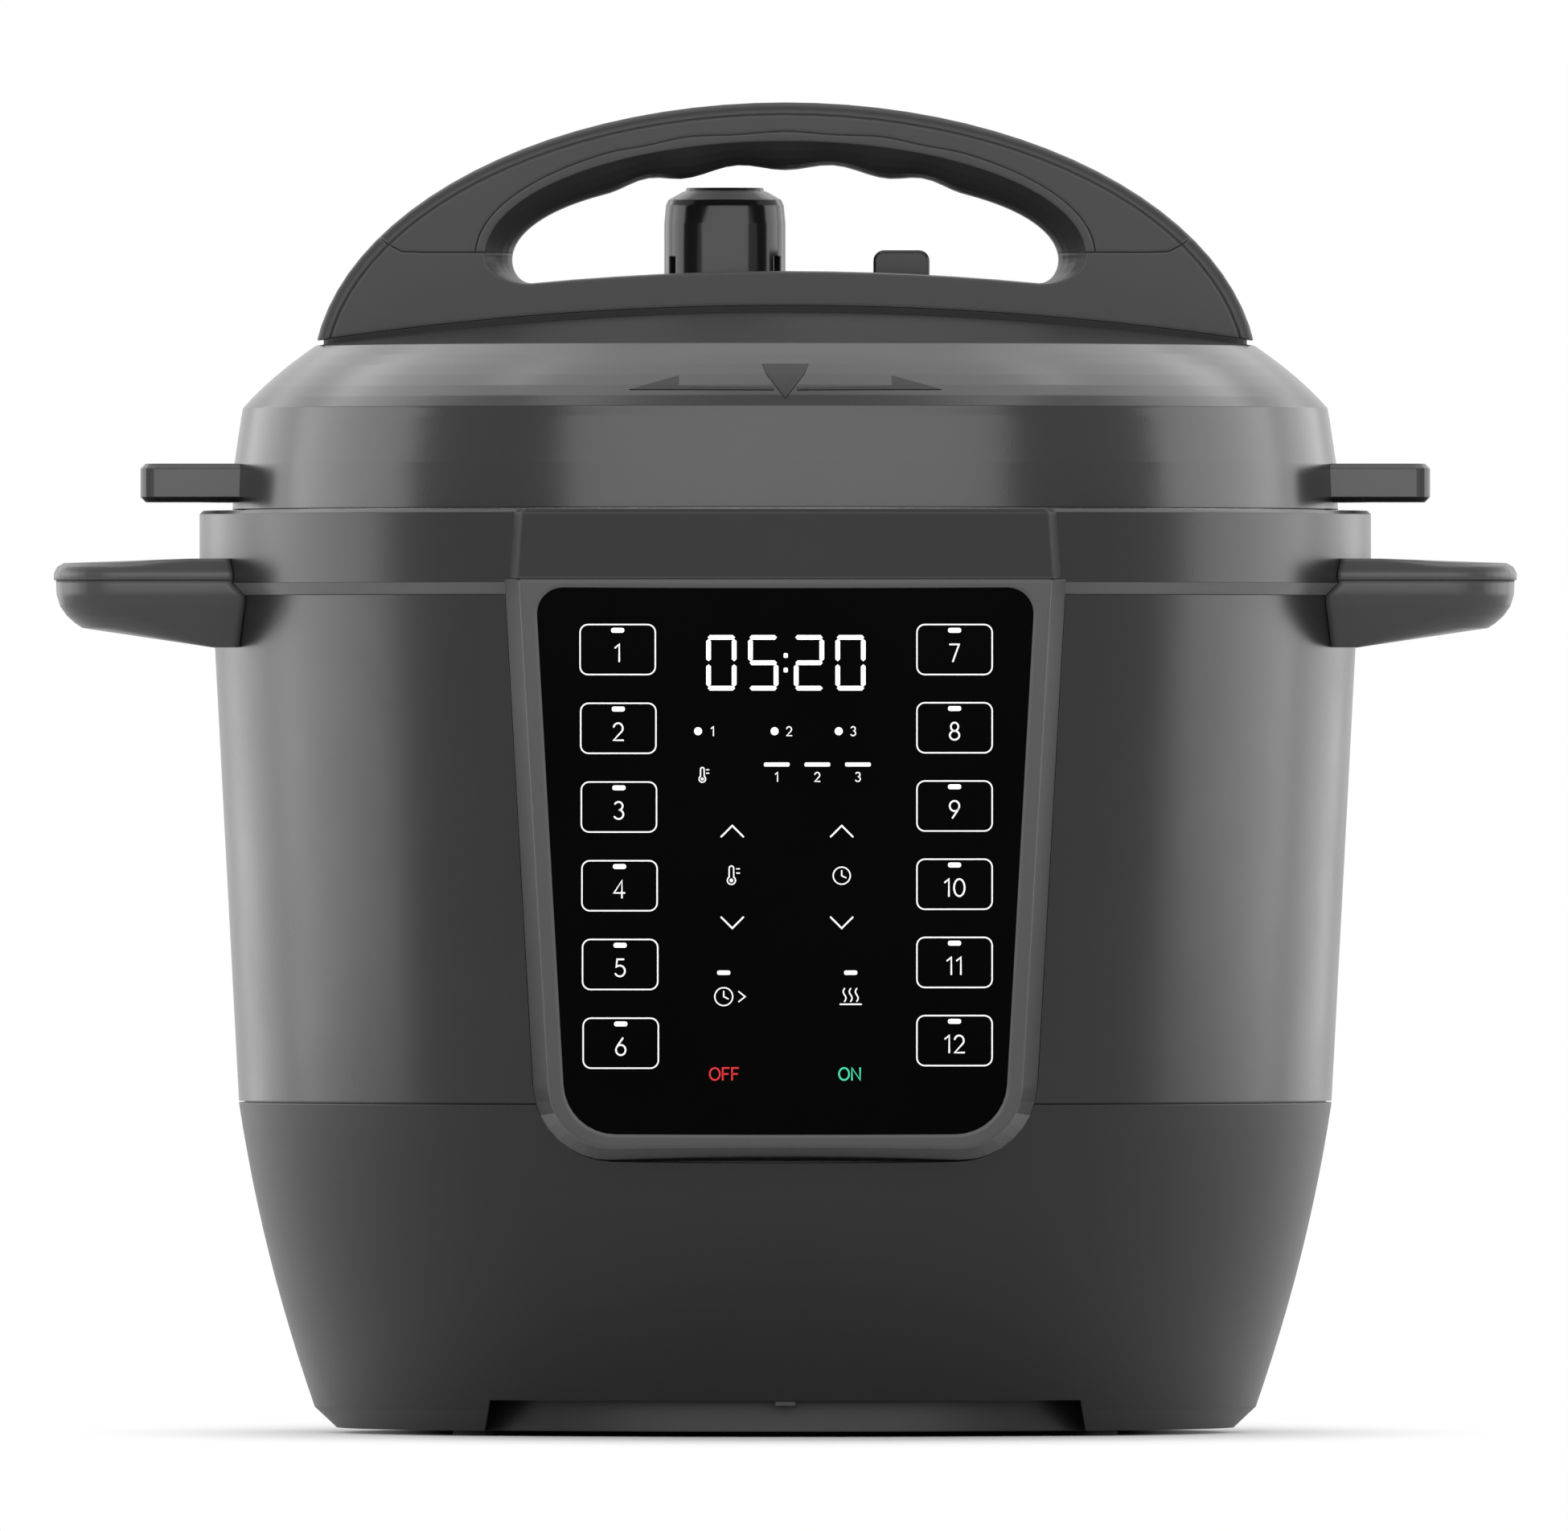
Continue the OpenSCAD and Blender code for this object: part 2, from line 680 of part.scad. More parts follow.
module heating_plate() color([0.75, 0.75, 0.76]) rotate_extrude() polygon([
    // The element's tube is cast into a rib on the underside
    [plate_hole_r, plate_z], [element_r - element_w / 2 - 2, plate_z],
    [element_r - element_w / 2, plate_z - element_h],
    [element_r + element_w / 2, plate_z - element_h], [element_r + element_w / 2 + 2, plate_z],
    [plate_r, plate_z],
    [plate_r, plate_top_z - 1.5], [plate_r - 4, plate_top_z - 0.3], [plate_hole_r, plate_top_z]
]);

module sensor_bracket() color([0.7, 0.7, 0.72]) rotate_extrude() polygon([
    [sensor_stem_r + loose, bracket_z], [bracket_r, bracket_z], [bracket_r, plate_z - bracket_t],
    [bracket_r + 5, plate_z - bracket_t],
    [bracket_r + 5, plate_z], [bracket_r - bracket_t, plate_z],
    [bracket_r - bracket_t, bracket_z + bracket_t],
    [sensor_stem_r + loose, bracket_z + bracket_t]
]);

sensor_top_z = pot_z - 0.3;
sensor_flange_z = plate_z - 4;

module temperature_sensor() color([0.78, 0.78, 0.8]) rotate_extrude() polygon([
    [0, bracket_z - 1], [sensor_stem_r, bracket_z - 1], [sensor_stem_r, sensor_flange_z],
    [sensor_r, sensor_flange_z],
    [sensor_r, sensor_top_z - 1], [sensor_r - 1, sensor_top_z], [0, sensor_top_z]
]);

module sensor_spring() color([0.8, 0.8, 0.8]) translate([0, 0, bracket_z + bracket_t + 0.05])
    coil((sensor_r + sensor_stem_r) / 2, 0.7, sensor_flange_z - bracket_z - bracket_t - 0.15, 4);

module heat_shield() color([0.65, 0.65, 0.67]) difference() {
    tube(boss_pos_r + boss_r + 5, bracket_r + 2, shield_z, shield_z + 0.8);
    at_bosses() translate([0, 0, shield_z - 1]) cylinder(r = boss_r + fit, h = 3, $fn = 48);
    translate([-inlet_body[0] / 2 - 2, inlet_back_y - 8, shield_z - 1]) cube([inlet_body[0] + 4, 60, 3]);
}

module power_board() color([0.12, 0.38, 0.22]) translate([board_pos[0], board_pos[1], board_z]) {
    translate([-board_size[0] / 2, -board_size[1] / 2, 0]) cube([board_size[0], board_size[1], board_t]);
    translate([0, 0, board_t - 0.1]) {
        // Relay, transformer and filter
        translate([-34, -20, 0]) cube([19, 15, 13]);
        translate([-10, -8, 0]) cube([22, 20, 14]);
        translate([-34, 6, 0]) cube([14, 8, 11]);
        // Choke and two capacitors
        translate([22, 10, 0]) cylinder(r = 8, h = 10, $fn = 48);
        translate([20, -12, 0]) cylinder(r = 5, h = 15, $fn = 48);
        translate([31, -12, 0]) cylinder(r = 4, h = 12, $fn = 48);
    }
}

// Outline of the inlet's opening: two corners are cut off
module inlet_outline() {
    polygon([
        [-inlet_w / 2, -inlet_h / 2], [inlet_w / 2, -inlet_h / 2], [inlet_w / 2, inlet_h / 2 - 5],
        [inlet_w / 2 - 5, inlet_h / 2], [-inlet_w / 2 + 5, inlet_h / 2], [-inlet_w / 2, inlet_h / 2 - 5]
    ]);
}

inlet_face_y = skirt_foot_r;
pin_size = [2, inlet_face_y - inlet_back_y - 1, 4];

// The three pins of the inlet, grown by a clearance
module pins(grow = 0) {
    for (p = [[-7, -2.4], [7, -2.4], [0, 2.4]])
        translate([p[0] - pin_size[0] / 2 - grow, inlet_back_y - 4, inlet_z + p[1] - pin_size[2] / 2 - grow])
            cube(pin_size + 2 * [grow, 0, grow]);
}

module power_inlet() color([0.08, 0.08, 0.08]) difference() {
    intersection() {
        translate([-inlet_body[0] / 2 + fit, inlet_back_y, inlet_z - inlet_body[1] / 2 + fit])
            cube([inlet_body[0] - 2 * fit, 60, inlet_body[1] - 2 * fit]);
        rotate_extrude() polygon(skirt_outline());
    }
    // Recess round the socket, and the socket
    translate([0, 200, inlet_z]) upright() linear_extrude(200 - inlet_face_y)
        polygon(round_rect([-inlet_w / 2 - 3.4, -inlet_h / 2 - 3.4], [inlet_w + 6.8, inlet_h + 6.8], 3));
    translate([0, 200, inlet_z]) upright() linear_extrude(200 - inlet_back_y - 3) inlet_outline();
    pins(thread);
}

module inlet_pins() color([0.8, 0.8, 0.8]) pins();

cup_z = shelf_z - loose - cup_h;

module condensation_cup() color([0.3, 0.3, 0.3]) difference() {
    union() {
        translate([0, 0, cup_z]) linear_extrude(cup_h)
            polygon(round_rect([-cup_w / 2, 110], [cup_w, cup_y - 110], 5));
        // Ribs that run in the rails
        for (s = [-1, 1]) translate([s * (cup_w / 2 + 0.6) - 1.6, spout_y - 1.5, cup_z + cup_h - rail_h])
            cube([3.2, 3, rail_h]);
    }
    cylinder(r = shell_top_r + 0.8, h = collar_z);
    translate([0, 0, cup_z + 2]) linear_extrude(cup_h) difference() {
        polygon(round_rect([-cup_w / 2 + 1.6, 110], [cup_w - 3.2, cup_y - 111.6], 3.4));
        circle(shell_top_r + 2.4);
    }
}

// ---------- Inner pot and seal ----------

pot_corner = 14;

module inner_pot() color([0.82, 0.82, 0.84]) rotate_extrude() difference() {
    union() {
        translate([0, pot_z]) square([pot_r, rim_z - pot_z + 1]);
        // Rim that rests on the lug ring, with a rolled edge
        translate([0, rim_z]) square([pot_rim_r - rim_t / 2, rim_t]);
        translate([pot_rim_r - rim_t / 2, rim_z + rim_t / 2]) circle(rim_t / 2, $fn = 32);
    }
    difference() {
        translate([pot_r - pot_corner, pot_z - 1]) square([pot_corner + 1, pot_corner + 1]);
        translate([pot_r - pot_corner, pot_z + pot_corner]) circle(pot_corner, $fn = 96);
    }
    difference() {
        translate([-1, pot_z + pot_wall + 0.8]) square([pot_d / 2 + 1, pot_h]);
        difference() {
            translate([pot_r - pot_corner, pot_z]) square([pot_corner + 1, pot_corner]);
            translate([pot_r - pot_corner, pot_z + pot_corner]) circle(pot_corner - pot_wall, $fn = 96);
        }
    }
}

seal_z = rim_z + rim_t + loose;
seal_h = 11;
seal_in_r = pot_rim_r - 8.8;
crown_r = tab_in_r + 1.6;
seal_out_r = crown_r - steel_t - loose;
groove_z = seal_z + 5.5;

module sealing_ring() color([0.72, 0.72, 0.7]) rotate_extrude() polygon([
    [seal_in_r, seal_z + 1.5], [seal_in_r + 1.5, seal_z], [seal_out_r - 1.5, seal_z],
    [seal_out_r, seal_z + 1.5],
    [seal_out_r, seal_z + seal_h - 1], [seal_out_r - 1, seal_z + seal_h], [seal_in_r + 1, seal_z + seal_h],
    [seal_in_r, seal_z + seal_h - 1], [seal_in_r, groove_z + 1.8], [seal_in_r + 5, groove_z + 1.8],
    [seal_in_r + 5, groove_z - 1.8], [seal_in_r, groove_z - 1.8]
]);

// ---------- Lid ----------

disc_z = edge_z + 1.3;
steel_shoulder_z = lid_z + 1;
roof_z = seal_z + seal_h + loose;
step_r = seal_in_r - 5.2;
dome_big_r = (dome_r * dome_r + dome_h * dome_h) / (2 * dome_h);
slope_bulge = 1.1;
fin_z = lid_z + 1.7;

// Height of the dome's surface at a distance from the axis
function dome_top(r) = apex_z - dome_big_r + sqrt(dome_big_r * dome_big_r - r * r);

// Outer edge of the lid's side and shoulder, from below
function lid_edge(inset) = concat(
    [
        [lid_r - inset, lid_z], [lid_r - 0.4 - inset, lid_z + 0.45 * lid_side_h],
        [lid_edge_r + 0.4 - inset, edge_z - 2.4], [lid_edge_r - inset, edge_z - 0.3]
    ],
    [for (i = [0 : 6]) let (s = i / 6, drop = i > 0 ? 0.6 * inset : 0) [
        lid_edge_r - inset - lid_slope_w * s + 4 * slope_bulge * s * (1 - s), edge_z + lid_slope_h * s - drop
    ]]
);

// Fin on the +X side
module fin() {
    difference() {
        soft_slab([lid_edge_r - 12, -fin_w / 2], [fin_reach - lid_edge_r + 12, fin_w], 4.5, fin_z,
            fin_z + fin_t, 1.2);
        cylinder(r = lid_r - lid_wall / 2, h = apex_z);
    }
}

module lid_cover() color([0.43, 0.43, 0.43]) {
    rotate_extrude() difference() {
        polygon(concat([[0, lid_z]], lid_edge(0), [[0, dome_z]]));
        polygon(concat([[0, lid_z - 1]], [[lid_r - lid_wall, lid_z - 1]], lid_edge(lid_wall),
            [[0, dome_z - 0.6 * lid_wall]]));
        translate([0, dome_z - lid_wall]) square([dome_r, lid_wall + 1]);
        translate([0, dome_z - 10]) square([dome_r - 6, 12]);
    }
    // Ledge under the dome's edge
    tube(dome_r + 1, dome_r - 6, dome_z - lid_wall - 1.5, dome_z - lid_wall);
    around(2) fin();
}

pipe_x = -14.3;
pipe_y = 33;
pipe_r = 5;
button_x = 27.5;
button_size = [button_w, 15];
stem_size = [button_w - 1.6, 13];
float_pos = [8, 54];
float_r = 2.4;
lid_screw_r = dome_r - 23;
arch_screw_x = arch_a - 19.7;
lid_screw_core = screw_r - 0.2;
lid_screw_l = 10;
dome_drop_z = dome_z - lid_wall;

module lid_dome() color([0.3, 0.3, 0.3]) difference() {
    union() {
        rotate_extrude() difference() {
            intersection() {
                translate([0, dome_drop_z]) square([dome_r - fit, dome_h + lid_wall]);
                translate([0, apex_z - dome_big_r]) circle(dome_big_r, $fn = 720);
            }
            translate([0, apex_z - dome_big_r]) circle(dome_big_r - lid_wall, $fn = 720);
        }
        // Plinth under the arch
        intersection() {
            translate([0, 0, dome_z]) linear_extrude(dome_h + 3)
                polygon(round_rect([-dome_r + 2, -plinth_w / 2], [2 * dome_r - 4, plinth_w], 8));
            rotate_extrude() difference() {
                intersection() {
                    translate([0, dome_z - 1]) square([dome_r - 1.5, dome_h + 8]);
                    translate([0, apex_z - dome_big_r + plinth_h]) circle(dome_big_r, $fn = 720);
                }
                translate([0, apex_z - dome_big_r]) circle(dome_big_r - 1, $fn = 720);
            }
        }
        // Bosses on the steel plate
        at_lid_screws() translate([0, 0, disc_z]) cylinder(r = 4, h = dome_z - disc_z + 1, $fn = 48);
    }
    at_lid_screws() translate([0, 0, disc_z - 1])
        cylinder(r = lid_screw_core + thread, h = lid_screw_l + 1, $fn = 48);
    at_arch_screws() translate([0, 0, dome_z - 10]) cylinder(r = screw_r + run, h = 30, $fn = 48);
    translate([pipe_x, pipe_y, dome_z - 10]) cylinder(r = collar_sleeve_r + loose, h = 40, $fn = 64);
    translate([float_pos[0], float_pos[1], dome_z - 10]) cylinder(r = float_r + loose, h = 40, $fn = 48);
    translate([button_x, pipe_y, dome_z - 10]) linear_extrude(40)
        square(stem_size + 2 * [loose, loose], center = true);
}

plinth_w = arch_depth + 9;
plinth_h = 1.3;
collar_sleeve_r = 7.6;

module at_lid_screws() {
    around(4, 45) translate([lid_screw_r, 0, 0]) children();
}

module at_arch_screws() {
    for (s = [-1, 1]) translate([s * arch_screw_x, 0, 0]) children();
}

// ---------- Arch handle ----------

arch_z = apex_z + 49.1 - arch_b;
split_z = arch_z + 29.9;
window_z = split_z - 1.5;
split_turn_x = arch_a - 21.2;
half_depth = arch_depth / 2;
window_corner_x = window_a - 4.5;
window_floor_z = window_z - 5.5;

// Rings of the arch's outside, rounded where they meet the faces
function arch_ring(y, inset) = [
    for (p = ellipse_points(arch_a - inset, arch_b - inset, arch_z)) [p[0], y, p[1]]
];

module arch_solid() {
    steps = 5;
    turns = [for (k = [0 : steps]) arch_round * [1 - cos(90 * k / steps), 1 - sin(90 * k / steps)]];
    skin(concat(
        [for (k = [0 : steps]) arch_ring(half_depth - turns[k][0], turns[k][1])],
        [for (k = [steps : -1 : 0]) arch_ring(turns[k][0] - half_depth, turns[k][1])]
    ));
}

// Height of the finger waves at a distance from the middle
function wave(x) = let (s = abs(x))
    (s < finger_w ? 0.74 * finger_d * pow(sin(180 * s / finger_w), 2)
    : s < 1.8 * finger_w ? 0.7 * finger_d * pow(sin(180 * (s - finger_w) / (0.8 * finger_w)), 2)
    : 0) - 0.28 * finger_d * pow(sin(180 * min(1, s / window_a)), 2);

// Outline of the grip's opening: flare is 0 in the middle of the arch and 1 at its faces,
// and rise lifts the middle of the lower edge
function window_points(flare, rise = 2.9) =
    let (a = window_a + flare * window_flare, b = window_b + flare * (window_flare - 0.5))
    let (zc = window_z + flare * 0.8, zb = window_floor_z - flare * 0.4)
    let (bw = a - window_corner_x, bh = zc - zb)
    concat(
        [for (i = [0 : 72]) let (t = 180 * i / 72, x = a * cos(t))
            [x, zc + b * sin(t) + (1 - flare) * wave(x)]],
        [for (i = [1 : 7]) let (t = 90 * i / 8) [-window_corner_x - bw * cos(t), zc - bh * sin(t)]],
        [for (i = [0 : 12]) let (x = window_corner_x * (i / 6 - 1))
            [x, zb + rise * (1 - pow(x / window_corner_x, 2))]],
        [for (i = [7 : -1 : 1]) let (t = 90 * i / 8) [window_corner_x + bw * cos(t), zc - bh * sin(t)]]
    );

module window_solid() {
    skin([for (u = [1.1, 1, 0.8, 0.6, 0.4, 0.2, 0, -0.2, -0.4, -0.6, -0.8, -1, -1.1])
        [for (p = window_points(min(1, u * u), abs(u) > 1 ? -0.5 : 2.9)) [p[0], u * half_depth, p[1]]]]);
}

// Half-plane above the joint between grip and base, which turns up towards the rim
module above_split(gap = 0) {
    line = [[0, 0], [5.5, 0.2], [8.6, 1.8], [24.6, 14.5], [arch_a, arch_b]];
    polygon(concat(
        [for (p = line) [split_turn_x - 5.5 + p[0], split_z + p[1] + gap]],
        [for (i = [4 : -1 : 0]) [5.5 - split_turn_x - line[i][0], split_z + line[i][1] + gap]]
    ));
}

// Thin groove between the rounded edge and the flat face
module face_groove() {
    for (s = [-1, 1]) translate([0, s * (half_depth - 0.25) + 0.75, 0]) upright() linear_extrude(1.5)
        difference() {
        polygon(ellipse_points(arch_a - arch_round, arch_b - arch_round, arch_z));
        polygon(ellipse_points(arch_a - arch_round - 0.6, arch_b - arch_round - 0.6, arch_z));
    }
}

// Fine line in the faces, round the grip's opening
module window_line() {
    for (s = [-1, 1]) translate([0, s * (half_depth - 0.2) + 0.75, 0]) upright() linear_extrude(1.5)
        difference() {
        polygon(window_points(1.34));
        polygon(window_points(1.28));
    }
}

module arch_grip() color([0.3, 0.3, 0.3]) difference() {
    intersection() {
        arch_solid();
        translate([0, 50, 0]) upright() linear_extrude(100) above_split(0);
    }
    window_solid();
    face_groove();
    window_line();
    // Open joint at the rim and along the faces
    for (s = [-1, 1]) translate([0, s * half_depth + 1, 0]) upright() linear_extrude(2) difference() {
        above_split(-1);
        above_split(0.3);
    }
}

module arch_base() color([0.3, 0.3, 0.3]) difference() {
    arch_solid();
    translate([0, 50, 0]) upright() linear_extrude(100) above_split(0);
    window_solid();
    face_groove();
    translate([0, 0, apex_z - dome_big_r + plinth_h + 0.1]) sphere(dome_big_r, $fn = 200);
    translate([-200, -50, 0]) cube([400, 100, dome_z]);
    at_arch_screws() translate([0, 0, dome_z - 10]) cylinder(r = lid_screw_core + thread, h = 26, $fn = 32);
}

// ---------- Steel plate and valves ----------

module lid_plate() color([0.8, 0.8, 0.82]) {
    difference() {
        // Disc, step down to the seal's channel, wall round the seal, shoulder and skirt
        rotate_extrude() polygon([
            [steel_r, tab_z], [steel_r, steel_shoulder_z], [crown_r, steel_shoulder_z + 3], [crown_r, roof_z],
            [crown_r - 1.5, roof_z + steel_t], [step_r, roof_z + steel_t], [step_r - 2.5, disc_z - 1.5],
            [step_r - 4, disc_z], [0, disc_z],
            [0, disc_z - steel_t], [step_r - 4.6, disc_z - steel_t], [step_r - 3.9, disc_z - steel_t - 0.7],
            [step_r - 1.4, roof_z],
            [crown_r - steel_t - 0.6, roof_z], [crown_r - steel_t, roof_z - 0.6],
            [crown_r - steel_t, steel_shoulder_z + 2.2],
            [steel_r - steel_t, steel_shoulder_z - 0.8], [steel_r - steel_t, tab_z]
        ]);
        translate([pipe_x, pipe_y, disc_z - 5]) cylinder(r = pipe_r + run, h = 10, $fn = 64);
        translate([float_pos[0], float_pos[1], disc_z - 5]) cylinder(r = float_r + loose, h = 10, $fn = 48);
        at_lid_screws() translate([0, 0, disc_z - 5]) cylinder(r = screw_r + run, h = 10, $fn = 48);
    }
    // Lugs that turn in under the ring's lugs
    translate([0, 0, tab_z]) linear_extrude(lug_t) difference() {
        around(lug_count) sector(steel_r - 0.5, lug_angle);
        circle(tab_in_r);
    }
}

rack_r = seal_in_r + 1.3;
rack_wire = 1.2;
rack_post_r = seal_in_r - 1.8;

module ring_rack() color([0.75, 0.75, 0.77]) {
    rotate_extrude() translate([rack_r, groove_z]) circle(rack_wire, $fn = 24);
    around(6, 15) {
        translate([rack_post_r, 0, groove_z - rack_wire])
            cylinder(r = rack_wire, h = roof_z - groove_z + rack_wire, $fn = 24);
        translate([rack_post_r, -rack_wire / 2, groove_z - rack_wire / 2])
            cube([rack_r - rack_post_r, rack_wire, rack_wire]);
    }
}

module lid_screws() color([0.72, 0.72, 0.72]) {
    at_lid_screws() {
        translate([0, 0, disc_z - steel_t - 2]) cylinder(r = 3.6, h = 2, $fn = 48);
        translate([0, 0, disc_z - steel_t - 1]) cylinder(r = lid_screw_core, h = lid_screw_l + 1, $fn = 48);
    }
    at_arch_screws() {
        translate([0, 0, arch_screw_z - 2]) cylinder(r = 3.6, h = 2, $fn = 48);
        translate([0, 0, arch_screw_z - 1]) cylinder(r = lid_screw_core, h = 14, $fn = 48);
    }
}

arch_screw_z = dome_top(arch_screw_x + 4) - lid_wall;
lever_z = disc_z + 4.8;
lever_t = 2.5;
knob_z = dome_top(norm([pipe_x, pipe_y])) + 2.9;
pipe_top_z = knob_z + 0.66 * knob_h;
button_z = knob_z + 0.458 * knob_h;
pivot_x = button_x - (button_x - pipe_x) * button_travel / (button_travel + vent_lift);
pivot_z = lever_z + lever_t / 2;
pivot_r = 0.8;

module steam_pipe() color([0.8, 0.8, 0.82]) translate([pipe_x, pipe_y, 0]) {
    tube(pipe_r, pipe_r - 1.7, disc_z - steel_t - 7, pipe_top_z);
    tube(pipe_r + 3.5, pipe_r - 1.7, disc_z - steel_t - 2, disc_z - steel_t);
}

module pipe_nut() color([0.76, 0.76, 0.76]) translate([pipe_x, pipe_y, disc_z]) difference() {
    cylinder(r = 8.6, h = 4, $fn = 6);
    translate([0, 0, -1]) cylinder(r = pipe_r + run, h = 6, $fn = 64);
}

module anti_block_shield() color([0.78, 0.78, 0.8])
    translate([pipe_x, pipe_y, disc_z - steel_t - 12]) difference() {
        cylinder(r = pipe_r + 8, h = 8, $fn = 96);
        translate([0, 0, -1]) cylinder(r = pipe_r + 7, h = 8, $fn = 96);
        cylinder(r = pipe_r + run, h = 10, $fn = 64);
        around(10) translate([pipe_r + 3, -1.2, 1]) cube([8, 2.4, 5]);
    }

module float_valve() color([0.75, 0.2, 0.18]) translate([float_pos[0], float_pos[1], 0]) {
    stem_z = disc_z - steel_t - float_travel - 2;
    translate([0, 0, stem_z]) cylinder(r = float_r, h = dome_top(norm(float_pos)) - 0.2 - stem_z, $fn = 48);
    translate([0, 0, disc_z + 0.2]) cylinder(r = float_r + 1.6, h = 1.4, $fn = 48);
}

module float_cap() color([0.7, 0.7, 0.68])
    translate([float_pos[0], float_pos[1], disc_z - steel_t - float_travel - 2.6]) difference() {
        cylinder(r = 4.6, h = 2.4, $fn = 48);
        translate([0, 0, 0.6]) cylinder(r = float_r + thread, h = 3, $fn = 48);
    }

button_cap_h = 8;
retainer_size = stem_size + [5, 3];
retainer_z = dome_top(norm([button_x, pipe_y] + retainer_size / 2)) - lid_wall - 0.3;

module quick_release_button() color([0.17, 0.17, 0.17]) translate([button_x, pipe_y, 0]) {
    translate([0, button_size[1] / 2, button_z]) upright()
        soft_slab([-button_w / 2, -button_cap_h], [button_w, button_cap_h], 2.5, 0, button_size[1], 0.6);
    translate([0, 0, retainer_z - 1]) linear_extrude(button_z - 3 - retainer_z)
        square(stem_size, center = true);
    // Retainer under the dome, and the foot that presses the lever
    translate([0, 0, retainer_z - 2]) linear_extrude(2) square(retainer_size, center = true);
    translate([0, 0, lever_z + lever_t + loose])
        cylinder(r = 2, h = retainer_z - lever_z - lever_t - 1, $fn = 32);
}

module button_spring() color([0.8, 0.8, 0.8]) translate([button_x, pipe_y, disc_z + 0.05])
    coil(3.4, 0.5, lever_z - disc_z - 0.1, 3);

module vent_lever() color([0.55, 0.55, 0.57]) difference() {
    translate([0, pipe_y, lever_z]) linear_extrude(lever_t) difference() {
        union() {
            translate([pipe_x, -3.5]) square([button_x - pipe_x, 7]);
            translate([pipe_x, 0]) circle(9.5, $fn = 64);
            translate([button_x, 0]) circle(5, $fn = 48);
        }
        // Fork round the pipe, open to the left
        translate([pipe_x, 0]) circle(pipe_r + 1.2, $fn = 64);
        translate([pipe_x - 20, -10]) square([19.5, 20]);
    }
    translate([pivot_x, pipe_y + 20, pivot_z]) upright() cylinder(r = pivot_r + run, h = 40, $fn = 32);
}

module lever_bracket() color([0.7, 0.7, 0.72]) translate([pivot_x, pipe_y, 0]) {
    for (s = [-1, 1]) translate([-2.5, s * 5 - 0.6, disc_z]) cube([5, 1.2, pivot_z - disc_z + 2.4]);
    translate([0, 6.2, pivot_z]) upright() cylinder(r = pivot_r, h = 12.4, $fn = 32);
}

module vent_collar() color([0.5, 0.5, 0.52]) translate([pipe_x, pipe_y, 0]) {
    tube(10, pipe_r + loose, lever_z + lever_t + loose, lever_z + lever_t + loose + 2);
    tube(collar_sleeve_r, pipe_r + loose, lever_z + lever_t + 2, knob_z + 1.6);
}

module steam_release_valve() color([0.13, 0.13, 0.13]) translate([pipe_x, pipe_y, knob_z]) difference() {
    rotate_extrude() polygon([
        [0, 2], [knob_r - 2, 2], [knob_r - 2, 0], [knob_r - 0.5, 0], [knob_r, 1], [knob_r, knob_h - 8.5],
        [knob_r - 0.4, knob_h - 4.2], [knob_r - 1, knob_h - 2.8], [knob_r - 4.4, knob_h - 0.9],
        [knob_r - 5.1, knob_h - 0.7], [knob_r - 5.3, knob_h], [0, knob_h]
    ]);
    // Bore that drops over the pipe, and the steam's way out
    translate([0, 0, -1]) cylinder(r = pipe_r + run, h = pipe_top_z - knob_z + 1, $fn = 64);
    difference() {
        translate([0, 0, 1]) cylinder(r = knob_r - 3, h = 12, $fn = 96);
        cylinder(r = pipe_r + 2, h = 20, $fn = 64);
    }
    around(3, 90) translate([knob_r - 4, -1.5, 3]) cube([6, 3, 8]);
}

base_skirt();
feet();
base_screws();
body_shell();
upper_rim();
badge_plate();
front_housing();
touch_panel();
display_module();
control_board();
handle_cover_left();
handle_cover_right();
handle_grip_left();
handle_grip_right();
outer_pot();
lug_ring();
heating_plate();
sensor_bracket();
temperature_sensor();
sensor_spring();
heat_shield();
power_board();
power_inlet();
inlet_pins();
condensation_cup();
inner_pot();
sealing_ring();
lid_cover();
lid_dome();
arch_base();
arch_grip();
lid_plate();
ring_rack();
lid_screws();
steam_pipe();
pipe_nut();
anti_block_shield();
float_valve();
float_cap();
quick_release_button();
button_spring();
vent_lever();
lever_bracket();
vent_collar();
steam_release_valve();
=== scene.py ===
"""Looks of an electric pressure cooker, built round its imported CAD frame."""
import math

import bpy
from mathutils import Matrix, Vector
from mathutils.bvhtree import BVHTree


